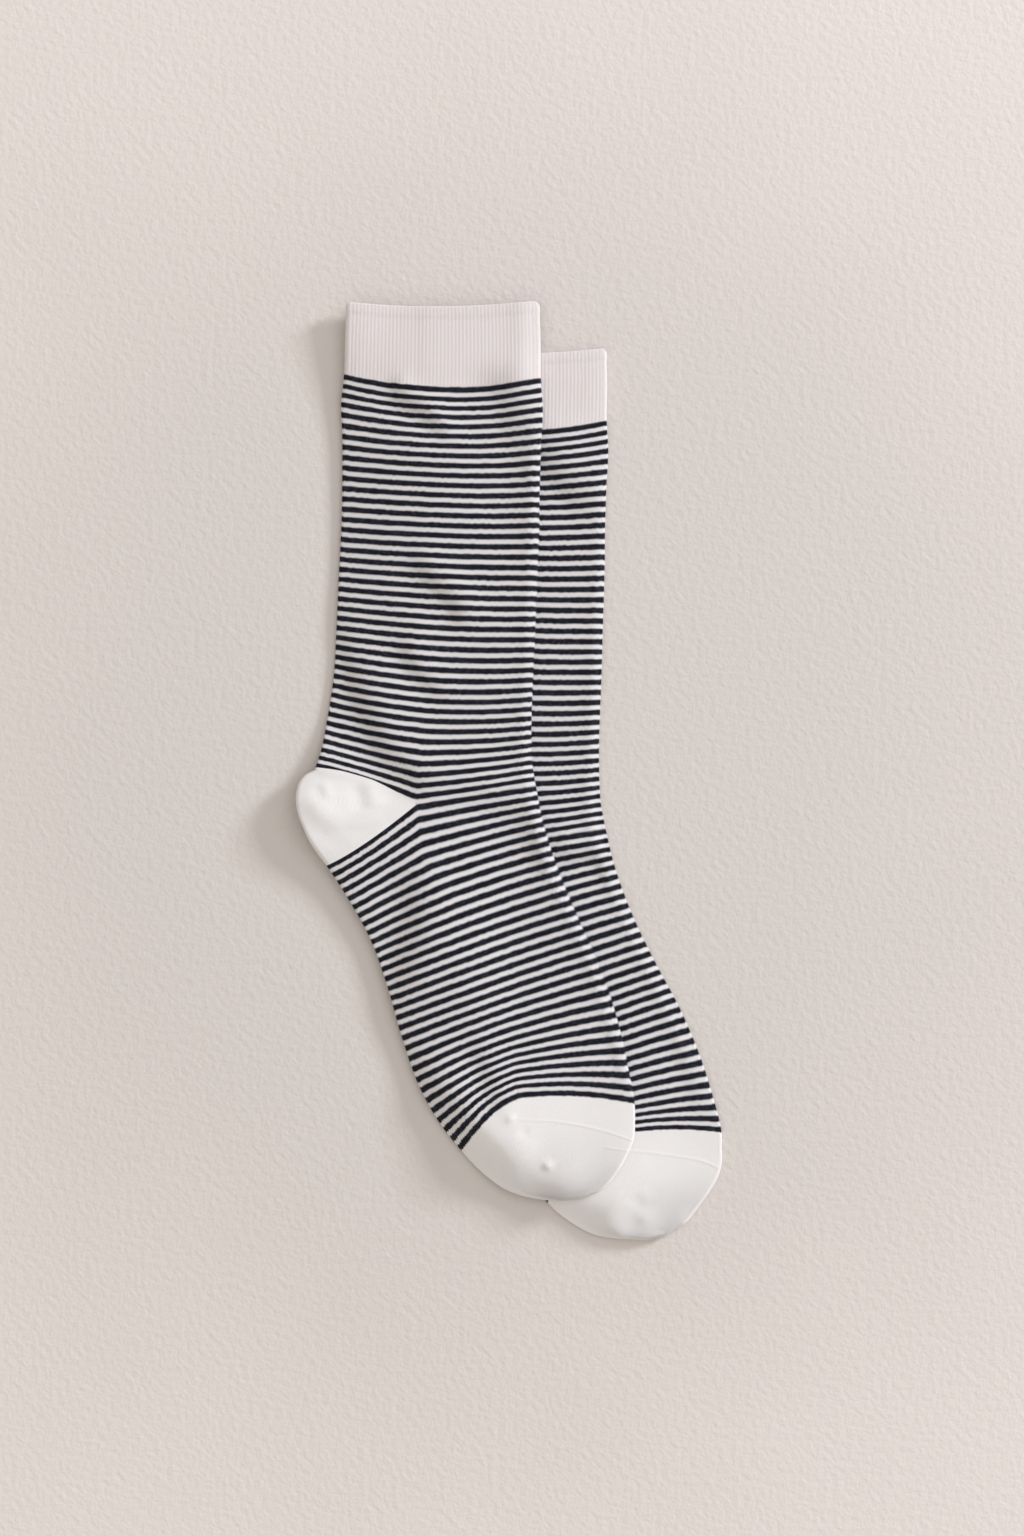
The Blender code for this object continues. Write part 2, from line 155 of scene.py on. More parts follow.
class Swell(NamedTuple):
    """A soft round rise, or a hollow where its height is negative."""

    x: float
    y: float
    radius: float
    height: float


class Fold(NamedTuple):
    """A soft fold along a line: the cloth climbs by twice its rise towards the line's left.

    ends is the share of the line over which the fold runs out at either end.
    """

    line: tuple[Range, ...]
    rise: float
    width: float
    ends: float = RUN_OUT


class Ridge(NamedTuple):
    """A raised line such as a linked seam, or a groove where its height is negative."""

    line: tuple[Range, ...]
    height: float
    width: float


# Courses of the upper sock, from the rim down to the heel and on to the tip of the toe
LEG = (
    Course(-7.4, -76.4, 219.7, 13.9, 220.4, 2.4, 0.50, 0.0, 0.0),
    Course(-4.0, -77.1, 203.5, 14.6, 203.5, 3.3, 0.50, 0.0, 0.0),
    Course(0.0, -77.8, 184.9, 14.8, 182.8, 5.3, 0.52, 0.0, 0.0),
    Course(3.0, -79.2, 172.3, 15.7, 169.4, 5.0, 0.52, 0.0, 0.0),
    Course(6.0, -78.7, 157.2, 15.0, 154.5, 3.5, 0.53, 0.0, 0.0),
    Course(10.0, -78.7, 137.7, 14.3, 134.6, 2.2, 0.55, 0.0, 0.0),
    Course(14.0, -79.0, 118.4, 14.0, 115.0, 1.6, 0.52, 0.0, 0.0),
    Course(20.0, -80.4, 90.2, 12.9, 85.5, 1.4, 0.50, 0.0, 0.0),
    Course(25.0, -81.4, 67.4, 12.0, 61.6, 2.2, 0.52, 0.1, 0.1),
    Course(30.0, -82.7, 44.8, 10.8, 38.1, 3.9, 0.51, 0.1, 0.1),
    Course(35.0, -86.0, 22.7, 10.3, 16.0, 5.8, 0.48, 0.3, 0.3),
    Course(38.0, -88.4, 10.1, 10.7, 4.0, 9.2, 0.46, 0.6, 0.6),
    Course(40.6, -91.4, 0.5, 12.2, -6.1, 12.5, PIVOT, 1.0, 0.85),
)
FOOT = (
    Course(40.8, -85.8, -44.4, 12.5, -7.5, -12.7, FOOT_PIVOT, 1.0, 0.85),
    Course(45.0, -75.7, -60.2, 16.0, -24.8, -6.3, 0.40, 0.6, 0.6),
    Course(50.0, -64.75, -80.4, 23.35, -47.7, -2.6, 0.45, 0.2, 0.2),
    Course(55.0, -57.05, -102.3, 33.0, -70.8, -1.2, 0.48, 0.0, 0.0),
    Course(60.0, -50.5, -125.5, 43.0, -93.5, -1.5, 0.48, 0.0, 0.1),
    Course(65.0, -41.6, -150.2, 51.5, -119.8, -6.6, 0.46, 0.0, 0.5),
    Course(68.0, -33.6, -164.5, 55.2, -136.6, -12.4, 0.42, 0.0, 0.6),
    Course(71.5, -21.9, -179.5, 58.8, -157.0, -18.0, 0.34, 0.0, 0.45),
    Course(73.0, -16.7, -185.2, 58.9, -164.0, -15.0, 0.35, 0.0, 0.3),
    Course(74.5, -10.6, -190.6, 58.5, -171.5, -11.7, 0.40, 0.0, 0.0),
    Course(76.5, -1.6, -196.7, 55.2, -180.0, -7.5, 0.45, 0.0, 0.0),
    Course(78.5, 8.7, -200.2, 50.5, -188.0, -3.5, 0.50, 0.0, 0.0),
    Course(80.0, 18.1, -201.4, 44.4, -194.8, -1.2, 0.50, 0.0, 0.0),
    Course(81.0, 25.1, -201.4, 38.8, -197.9, -0.3, 0.50, 0.0, 0.0),
    Course(81.5, 32.2, -200.2, 32.2, -200.2, 0.0, 0.50, 0.0, 0.0),
)

# The heel pocket's edge, from the leg round to the foot
HEEL = (
    Pocket(0.00, -91.4, 0.5),
    Pocket(0.10, -95.9, -1.9),
    Pocket(0.20, -98.7, -5.6),
    Pocket(0.30, -99.9, -10.3),
    Pocket(0.40, -99.9, -15.0),
    Pocket(0.52, -98.7, -20.9),
    Pocket(0.65, -96.6, -26.3),
    Pocket(0.78, -93.8, -32.7),
    Pocket(0.90, -90.0, -38.8),
    Pocket(1.00, -85.8, -44.4),
)

# How far each sock's courses are moved over from these
LOWER_SHIFT = (
    Shift(-7.4, 31.7, -21.6, 31.7, -21.6),
    Shift(0.0, 31.5, -20.2, 31.0, -19.3),
    Shift(20.0, 31.5, -20.2, 31.0, -19.9),
    Shift(35.0, 32.0, -19.8, 32.0, -19.7),
    Shift(45.0, 33.5, -20.3, 33.6, -20.3),
    Shift(55.0, 35.7, -21.2, 35.7, -19.4),
    Shift(65.0, 39.2, -22.6, 39.2, -17.2),
    Shift(68.0, 40.26, -24.03, 40.31, -15.95, 0.4),
    Shift(70.0, 40.7, -24.71, 40.93, -14.9, -1.2),
    Shift(71.5, 40.5, -24.3, 41.1, -13.9, -2.1),
    Shift(73.0, 39.8, -23.0, 41.0, -12.7, -1.5),
    Shift(76.5, 40.9, -21.2, 41.4, -14.1),
    Shift(78.5, 40.9, -19.7, 39.0, -16.5),
    Shift(80.0, 41.4, -19.0, 38.5, -17.9),
    Shift(81.0, 41.6, -18.9, 40.7, -17.0),
    Shift(81.5, 42.3, -18.1, 42.3, -18.1),
)
UPPER_SHIFT = (Shift(RIM, 0.0, 0.0, 0.0, 0.0), Shift(TOE_TIP, 0.0, 0.0, 0.0, 0.0))

# Where the socks are fuller or flatter, and where the upper one stands clear of the surface
LOWER_SWELLS = (
    Swell(-42.0, -40.0, 24.0, 0.6),
    Swell(58.0, -190.0, 26.0, 2.8),
    Swell(100.0, -184.0, 14.0, -1.1),
)
UPPER_SWELLS = (
    Swell(-84.0, 90.0, 45.0, -0.6),
    Swell(-75.0, -25.0, 20.0, 2.2),
    Swell(12.0, -167.0, 24.0, 2.6),
    Swell(60.0, -168.0, 14.0, -0.9),
)
UPPER_LIFTS = (
    Swell(-80.0, 222.0, 40.0, 6.0),
    Swell(-96.0, -22.0, 29.0, 8.5),
    Swell(-60.0, -100.0, 30.0, 2.5),
    Swell(-24.0, -178.0, 16.0, -1.8),
)

# The upper sock's folds, from the cuff down to the toe
UPPER_FOLDS = (
    Fold(((-57.0, 188.0), (-50.0, 174.0), (-38.0, 166.0), (-27.0, 150.0)), 1.5, 4.6),
    Fold(((-12.0, 198.0), (-3.0, 174.0), (3.0, 140.0), (5.0, 92.0)), 1.9, 10.5),
    Fold(((-50.0, 104.0), (-38.5, 90.0), (-27.0, 77.0), (-22.0, 60.0)), 1.9, 6.5),
    Fold(((-54.0, 66.0), (-44.0, 47.0), (-26.0, 30.0)), 1.2, 5.0),
    Fold(((-88.0, 96.0), (-74.0, 42.0), (-61.0, 12.0), (-46.0, -3.0), (-36.0, -16.0)), 1.9, 8.0),
    Fold(((-52.0, -26.0), (-45.0, -63.0), (-49.0, -86.0), (-54.0, -124.0)), 1.7, 9.0),
    Fold(((-52.0, -8.0), (-6.0, -16.0), (10.0, -34.0), (19.5, -66.0)), 1.2, 9.0),
    Fold(((-20.0, -122.0), (-10.0, -145.0), (-4.0, -166.0)), 1.15, 6.0),
    Fold(((-17.0, -26.0), (-9.0, -84.0), (-2.0, -134.0)), -1.2, 15.0),
    Fold(((45.0, -112.0), (51.0, -130.0), (54.5, -146.0)), 0.7, 4.0),
    Fold(
        ((-58.0, -108.0), (-43.0, -149.0), (-30.0, -165.0), (-18.5, -178.5), (-0.5, -191.0), (19.0, -198.0)),
        4.4,
        12.6,
    ),
    Fold(
        (
            (13.0, 196.0), (12.6, 130.0), (10.6, 75.0), (8.6, 25.0), (10.2, -8.0),
            (21.2, -47.0), (41.6, -95.0), (54.6, -140.0), (58.0, -156.0),
        ),
        -1.0,
        2.4,
        0.15,
    ),
    Fold(((9.5, 250.0), (9.5, 206.0), (9.5, 160.0)), -0.5, 4.5),
    Fold(((-89.4, -5.5), (-87.6, -9.5), (-86.6, -14.5)), 0.55, 2.1),
    Fold(((-70.4, -4.5), (-67.6, -11.5), (-65.8, -19.5)), 0.7, 3.3),
    Fold(((-99.0, -11.0), (-92.0, -20.0), (-84.0, -27.0), (-72.0, -31.5)), 0.75, 4.5),
)
UPPER_RIDGES = (
    Ridge(((-78.0, -27.0), (-72.0, -29.0), (-64.0, -28.0), (-56.0, -25.0)), -0.45, 3.5),
    Ridge(((1.0, -162.0), (12.0, -163.0), (24.0, -164.0), (42.5, -168.0), (59.5, -173.5)), 0.28, 0.5),
)
UPPER_DENTS = (
    Swell(0.4, -162.2, 2.1, 1.1),
    Swell(7.0, -168.8, 2.4, -0.5),
    Swell(17.8, -184.2, 2.1, 1.1),
    Swell(6.0, -164.0, 30.0, 3.0),
    Swell(-30.0, -84.0, 22.0, 1.8),
    Swell(24.0, -102.0, 22.0, -1.4),
)

# The lower sock's folds, where it shows
LOWER_FOLDS = (
    Fold(((14.0, 170.0), (19.0, 143.0), (28.0, 130.0), (42.0, 118.0)), 1.9, 9.0),
    Fold(((18.0, -39.0), (32.0, -41.0), (47.0, -39.0)), 1.8, 6.5),
    Fold(((74.0, -120.0), (84.0, -144.0), (92.0, -168.0)), 0.55, 4.5),
    Fold(((2.0, -191.0), (20.0, -202.0), (33.0, -209.5), (45.0, -215.0), (55.0, -221.0)), 3.7, 12.0),
    Fold(((58.5, -196.0), (61.5, -200.5), (64.5, -205.0)), 0.25, 2.6),
    Fold(
        (
            (44.0, 176.0), (43.5, 110.0), (41.6, 55.0), (39.7, 5.0),
            (40.8, -25.0), (54.8, -67.0), (76.6, -114.0), (92.6, -155.0),
        ),
        -0.9,
        2.4,
        0.2,
    ),
)
LOWER_RIDGES = (
    Ridge(((45.0, -176.0), (57.5, -178.0), (70.5, -179.5), (89.5, -183.0), (100.0, -187.5)), 0.25, 0.5),
    Ridge(((46.0, -215.0), (62.0, -218.5), (80.0, -212.5)), 1.0, 6.0),
)
LOWER_DENTS = (Swell(62.7, -209.5, 4.5, 1.2), Swell(60.0, -190.0, 18.0, 2.1))

# Soft troughs of the undersides, in the upper sock's place
UNDER_RIDGES = (
    Ridge(((-66.0, 196.0), (-50.0, 160.0), (-22.0, 128.0), (4.0, 112.0)), 0.5, 7.0),
    Ridge(((-70.0, 112.0), (-52.0, 84.0), (-24.0, 66.0)), 0.4, 5.0),
    Ridge(((-14.0, 92.0), (-30.0, 48.0), (-40.0, 8.0), (-36.0, -22.0)), 0.5, 8.0),
    Ridge(((-80.0, 40.0), (-66.0, 6.0), (-60.0, -30.0)), 0.4, 6.0),
    Ridge(((6.0, -26.0), (-14.0, -60.0), (-38.0, -84.0)), 0.5, 6.0),
    Ridge(((-42.0, -108.0), (-12.0, -126.0), (22.0, -122.0)), 0.4, 7.0),
    Ridge(((-4.0, -160.0), (18.0, -176.0), (40.0, -178.0)), 0.4, 6.0),
)


def eased(share: Array) -> Array:
    """Smooth step from 0 to 1."""
    share = np.clip(share, 0.0, 1.0)
    return share * share * (3.0 - 2.0 * share)


def faded(place: Array, ends: float = RUN_OUT) -> Array:
    """1 along the middle of a line, running out softly to 0 at both its ends."""
    return eased(np.minimum(place, 1.0 - place) / ends)


def spline(rows: Sequence[tuple], where: Array) -> Array:
    """Read a table smoothly along its first column.

    Args:
        rows: the table, one tuple a row.
        where: places along the first column.

    Returns:
        The other columns' values, one row for each place.
    """
    table = np.array(rows, dtype=float)
    at, values = table[:, 0], table[:, 1:]
    slopes = np.gradient(values, at, axis=0)
    i = np.clip(np.searchsorted(at, where) - 1, 0, len(at) - 2)
    step = (at[i + 1] - at[i])[:, None]
    s = np.clip((where - at[i])[:, None] / step, 0.0, 1.0)
    return (
        (1 + 2 * s) * (1 - s) ** 2 * values[i]
        + s * (1 - s) ** 2 * step * slopes[i]
        + s * s * (3 - 2 * s) * values[i + 1]
        - s * s * (1 - s) * step * slopes[i + 1]
    )


def nearest_on(path: Array, points: Array) -> tuple[Array, Array]:
    """Measure points against a line of straight runs.

    Args:
        path: the line's corners.
        points: plan points.

    Returns:
        The signed distance, positive on the line's left, and the place along the line from 0 to 1.
    """
    start, run = path[:-1], np.diff(path, axis=0)
    square = np.sum(run * run, axis=1)
    distance, place = np.empty(len(points)), np.empty(len(points))
    for first in range(0, len(points), BATCH):
        here = slice(first, first + BATCH)
        away = points[here, None] - start[None]
        share = np.clip(np.sum(away * run, axis=2) / square, 0.0, 1.0)
        away -= run * share[..., None]
        reach = np.hypot(away[..., 0], away[..., 1])
        i = np.argmin(reach, axis=1)
        row = np.arange(len(i))
        side = run[i, 0] * away[row, i, 1] - run[i, 1] * away[row, i, 0]
        distance[here] = np.copysign(reach[row, i], side)
        place[here] = (i + share[row, i]) / len(run)
    return distance, place


def smooth_line(line: Sequence[Range], steps: int = 6) -> Array:
    """Turn a few given points into a smooth line of short runs."""
    rows = [(i, *point) for i, point in enumerate(line)]
    return spline(rows, np.linspace(0.0, len(line) - 1.0, steps * (len(line) - 1) + 1))


def sag_shape(share: Array, bow: Array) -> Array:
    """Share of the sag across a course, a round bow or a bend at its peak.

    Args:
        share: places across, courses by points.
        bow: each course's peak and the bends behind and before it.

    Returns:
        Shares from 0 at the folds to 1 at the peak.
    """
    peak, back_bend, front_bend = bow[:, 0:1], bow[:, 1:2], bow[:, 2:3]
    behind = share < peak
    rise = np.clip(np.where(behind, share / peak, (1.0 - share) / (1.0 - peak)), 0.0, 1.0)
    bend = np.where(behind, back_bend, front_bend)
    hollow = np.where(behind, BACK_HOLLOW, FRONT_HOLLOW)
    return (1.0 - bend) * (1.0 - (1.0 - rise) ** 2) + bend * rise**hollow


def drawn(stripe: Array, across: Array) -> Array:
    """Place across one side, drawn over below the heel so that its point meets the leg's.

    Args:
        stripe: places along the sock.
        across: places between the folds.

    Returns:
        The places across that the cloth takes.
    """
    fade = 1.0 - (stripe - FOOT_START) / PIVOT_FADE
    fade = np.where((fade > 0.0) & (fade <= 1.0), fade, 0.0)
    side = np.minimum(across / PIVOT, (1.0 - across) / (1.0 - PIVOT))
    return across - (PIVOT - FOOT_PIVOT) * fade * side


@dataclass(frozen=True)
class Columns:
    """Columns round a sock, from the back fold over the top and back below.

    turn is 0 at the back fold, 1 on the flat and 2 at the front fold, across is the place
    between the folds, and side is 1 above, -1 below and 0 on a fold.
    """

    turn: Array
    across: Array
    side: Array

    @classmethod
    def around(cls, fold_steps: int, across: Sequence[float]) -> "Columns":
        """Lay out the columns.

        Args:
            fold_steps: columns in a quarter round of a fold.
            across: places of the flat columns, with both ends.

        Returns:
            The columns.
        """
        quarter = 1.0 - np.cos(np.linspace(0.0, math.pi / 2, fold_steps + 1)[:-1])
        turn = np.concatenate([quarter, np.ones(len(across)), 2.0 - quarter[::-1]])
        flat = np.concatenate([np.zeros(fold_steps), across, np.ones(fold_steps)])
        side = np.ones(len(turn))
        side[[0, -1]] = 0.0
        below = slice(-2, 0, -1)
        return cls(
            np.concatenate([turn, turn[below]]),
            np.concatenate([flat, flat[below]]),
            np.concatenate([side, -side[below]]),
        )

    def share(self) -> Array:
        """Share of the way from back fold to front fold, as it is in the leg."""
        return (FOLD_RADIUS * self.turn + self.across * (TUBE_WIDTH - 2 * FOLD_RADIUS)) / TUBE_WIDTH

    def picked(self, order: Sequence[int]) -> "Columns":
        """Some of the columns, in the given order."""
        order = np.array(order)
        return Columns(self.turn[order], self.across[order], self.side[order])

    def pivots(self) -> tuple[int, int]:
        """Numbers of the columns at the heel's point, above and below."""
        found = np.flatnonzero((np.abs(self.across - PIVOT) < TINY) & (self.side != 0.0))
        return int(found[0]), int(found[-1])

    def wales(self, share: Array) -> Array:
        """Wale of each share, counted round the tube from the back fold over the top."""
        half = WALES / 2
        return np.where(self.side >= 0, share * half, WALES - share * half)


@dataclass(frozen=True)
class Lay:
    """How one sock lies on the surface.

    shifts move its courses over from the tables' places, moved is about how far. swells are
    where it is fuller or flatter, lifts where it stands clear of the surface, and below is the
    sock that it lies on.
    """

    name: str
    shifts: tuple[Shift, ...]
    swells: tuple[Swell, ...]
    lifts: tuple[Swell, ...]
    folds: tuple[Fold, ...]
    ridges: tuple[Ridge, ...]
    dents: tuple[Swell, ...]
    moved: Range = (0.0, 0.0)
    below: "Lay | None" = None

    def course(self, stripe: Array) -> tuple[Array, Array, Array, Array]:
        """Read courses from the tables.

        Args:
            stripe: places along the sock.

        Returns:
            Back edges, front edges, sags, and the place and bends of each sag.
        """
        in_leg = stripe[:, None] < (LEG_END + FOOT_START) / 2
        row = np.where(in_leg, spline(LEG, stripe), spline(FOOT, stripe))
        shift = spline(self.shifts, stripe)
        edges = row[:, 0:4] + shift[:, 0:4]
        return edges[:, 0:2], edges[:, 2:4], row[:, 4] + shift[:, 4], row[:, 5:8]

    def plan(self, stripe: Array, columns: Columns) -> tuple[Array, Array]:
        """Plan points of courses, and their share of the way from back to front.

        Args:
            stripe: places along the sock, one a row.
            columns: columns round the sock.

        Returns:
            Plan points, rows by columns by two, and shares, rows by columns.
        """
        back, front, sag, bow = self.course(stripe)
        span = front - back
        length = np.maximum(np.hypot(span[:, 0], span[:, 1]), TINY)[:, None]
        radius = np.minimum(FOLD_RADIUS, FOLD_LIMIT * length)
        place = drawn(stripe[:, None], columns.across[None])
        share = (radius * columns.turn + place * (length - 2 * radius)) / length
        plan = back[:, None] + span[:, None] * share[..., None]
        plan[..., 1] -= sag[:, None] * sag_shape(share, bow)
        return plan, share

    def heel_edge(self, turn: Array) -> Array:
        """Outside edge of the heel pocket.

        Args:
            turn: places from 0 at the leg to 1 at the foot.

        Returns:
            A plan point for each.
        """
        leg = spline(self.shifts, np.array([LEG_END]))[:, 0:2]
        foot = spline(self.shifts, np.array([FOOT_START]))[:, 0:2]
        return spline(HEEL, turn) + leg * (1 - turn[:, None]) + foot * turn[:, None]

    def heel_plan(self, turn: Array, columns: Columns) -> Array:
        """Plan points of the heel pocket, which fans out from its point.

        Args:
            turn: places from 0 at the leg to 1 at the foot, one a row.
            columns: the pocket's columns, from its point above to its point below.

        Returns:
            Plan points, rows by columns by two.
        """
        leg = self.plan(np.array([LEG_END]), columns)[0][0]
        foot = self.plan(np.array([FOOT_START]), columns)[0][0]
        leg_edge = self.course(np.array([LEG_END]))[0][0]
        foot_edge = self.course(np.array([FOOT_START]))[0][0]
        leg_run, foot_run = leg_edge - leg[0], foot_edge - foot[0]
        reach = (np.hypot(*(leg - leg[0]).T) / np.hypot(*leg_run))[:, None]
        later = turn[:, None, None]
        centre = leg[0] * (1 - later) + foot[0] * later
        fan = centre + (self.heel_edge(turn)[:, None] - centre) * reach
        leg_off = leg - leg[0] - leg_run * reach
        foot_off = foot - foot[0] - foot_run * reach
        return fan + leg_off * (1 - later) + foot_off * later

    def outline(self) -> Array:
        """Outline of the sock, from past the back of the rim round the toe and back up.

        Returns:
            Plan points.
        """
        leg = np.arange(RIM, LEG_END, OUTLINE_STEP)
        foot = np.arange(FOOT_START, TOE_BEND, OUTLINE_STEP)
        foot = np.append(foot, np.arange(TOE_BEND, TOE_TIP, TIP_STEP))
        leg_back, leg_front = self.course(leg)[0:2]
        foot_back, foot_front = self.course(foot)[0:2]
        heel = self.heel_edge(np.linspace(0.0, 1.0, HEEL_POINTS))
        tip = self.course(np.array([TOE_TIP]))[0]
        above = np.array([[0.0, PAST_RIM]])
        edge = [leg_back, heel, foot_back[1:], tip, foot_front[::-1], leg_front[::-1]]
        return np.concatenate([leg_back[:1] + above, *edge, leg_front[:1] + above])

    def thickness(self, points: Array) -> Array:
        """Flattened thickness of both layers.

        Args:
            points: plan points.

        Returns:
            The thickness at each, without folds and dents.
        """
        depth = np.maximum(nearest_on(self.outline(), points)[0], 0.0)
        cuff = eased((points[:, 1] - CUFF_START_Y) / (CUFF_FULL_Y - CUFF_START_Y))
        fold = FOLD_GAIN * np.exp(-((depth / FOLD_REACH) ** 2))
        return THICK + fold + CUFF_GAIN * cuff + swell_sum(self.swells, points)

    def ground(self, points: Array) -> Array:
        """What the sock lies on: the surface, or the sock below and the slope down from it.

        Args:
            points: plan points.

        Returns:
            The height at each.
        """
        if self.below is None:
            return np.zeros(len(points))
        over = nearest_on(self.below.outline(), points)[0]
        share = eased((over + DRAPE_OUTSIDE) / (DRAPE_OUTSIDE + DRAPE_INSIDE))
        lifted = swell_sum(self.lifts, points)
        beneath = self.below.thickness(points) + self.below.relief(points) + DRAPE_GAP
        return np.maximum(share * beneath + (1.0 - share) * lifted, 0.0)

    def relief(self, points: Array) -> Array:
        """Folds, seams and dents of the top.

        Args:
            points: plan points.

        Returns:
            The height at each, never so low that the layers meet.
        """
        total = swell_sum(self.dents, points)
        for fold in self.folds:
            distance, place = nearest_on(smooth_line(fold.line), points)
            s = distance / fold.width
            total += fold.rise * faded(place, fold.ends) * s * np.exp(0.5 - s * s / 2)
        for ridge in self.ridges:
            distance = nearest_on(smooth_line(ridge.line), points)[0]
            total += ridge.height * np.exp(-((distance / ridge.width) ** 2))
        return np.maximum(total, LEAST_THICK - self.thickness(points))

    def hollows(self, points: Array) -> Array:
        """Soft troughs of the underside.

        Args:
            points: plan points.

        Returns:
            The height at each.
        """
        total = np.zeros(len(points))
        for ridge in UNDER_RIDGES:
            distance, place = nearest_on(smooth_line(ridge.line), points - self.moved)
            total += ridge.height * faded(place) * np.exp(-((distance / ridge.width) ** 2))
        return total

    def raised(self, plan: Array, columns: Columns) -> Array:
        """Lift plan points to the outside of the sock.

        Args:
            plan: plan points, rows by columns by two.
            columns: the columns that they belong to.

        Returns:
            Points in space, rows by columns by three.
        """
        points = plan.reshape(-1, 2)
        middle = self.thickness(points) / 2
        side = np.tile(columns.side, len(plan))
        turn = np.tile(np.minimum(columns.turn, 2.0 - columns.turn), len(plan))
        depth = np.maximum(nearest_on(self.outline(), points)[0], LEAST_OPEN * turn * FOLD_RADIUS)
        reach = np.minimum(depth / middle, 1.0)
        half = np.sqrt(1.0 - (1.0 - reach) ** 2) * np.abs(side)
        up = self.ground(points) + middle * (1.0 + side * half)
        up += half * np.where(side > 0, self.relief(points), self.hollows(points))
        return np.column_stack([points, up]).reshape(*plan.shape[:2], 3)


def swell_sum(swells: Iterable[Swell], points: Array) -> Array:
    """Sum of soft round swells.

    Args:
        swells: the swells.
        points: plan points.

    Returns:
        The height at each point.
    """
    total = np.zeros(len(points))
    for swell in swells:
        reach = np.hypot(points[:, 0] - swell.x, points[:, 1] - swell.y) / swell.radius
        total += swell.height * np.exp(-reach * reach)
    return total


LOWER = Lay(
    "lower",
    LOWER_SHIFT,
    LOWER_SWELLS,
    (),
    LOWER_FOLDS,
    LOWER_RIDGES,
    LOWER_DENTS,
    (34.0, -20.5),
)
UPPER = Lay(
    "upper",
    UPPER_SHIFT,
    UPPER_SWELLS,
    UPPER_LIFTS,
    UPPER_FOLDS,
    UPPER_RIDGES,
    UPPER_DENTS,
    below=LOWER,
)


class Slot(Enum):
    """The finishes that the pieces take."""

    RIB = "white_rib"
    STRIPES = "striped_jersey"
    HEEL = "white_heel"
    TOE = "white_toe"


class Value:
    """One number in a material's recipe, which the usual operators act on."""

    def __init__(self, recipe: "Recipe", socket: bpy.types.NodeSocket) -> None:
        """Keep the recipe and the socket that gives the number."""
        self.recipe = recipe
        self.socket = socket

    def __add__(self, other: "Value | float") -> "Value":
        """Sum."""
        return self.recipe.maths("ADD", self, other)

    def __radd__(self, other: float) -> "Value":
        """Sum, reflected."""
        return self.recipe.maths("ADD", other, self)

    def __sub__(self, other: "Value | float") -> "Value":
        """Difference."""
        return self.recipe.maths("SUBTRACT", self, other)

    def __rsub__(self, other: float) -> "Value":
        """Difference, reflected."""
        return self.recipe.maths("SUBTRACT", other, self)

    def __mul__(self, other: "Value | float") -> "Value":
        """Product."""
        return self.recipe.maths("MULTIPLY", self, other)

    def __rmul__(self, other: float) -> "Value":
        """Product, reflected."""
        return self.recipe.maths("MULTIPLY", other, self)

    def __truediv__(self, other: "Value | float") -> "Value":
        """Quotient."""
        return self.recipe.maths("DIVIDE", self, other)

    def __rtruediv__(self, other: float) -> "Value":
        """Quotient, reflected."""
        return self.recipe.maths("DIVIDE", other, self)

    def __gt__(self, other: "Value | float") -> "Value":
        """1 where greater, else 0."""
        return self.recipe.maths("GREATER_THAN", self, other)

    def __lt__(self, other: "Value | float") -> "Value":
        """1 where less, else 0."""
        return self.recipe.maths("LESS_THAN", self, other)

    def of(self, operation: str) -> "Value":
        """Any Math operation on this number alone."""
        return self.recipe.maths(operation, self)


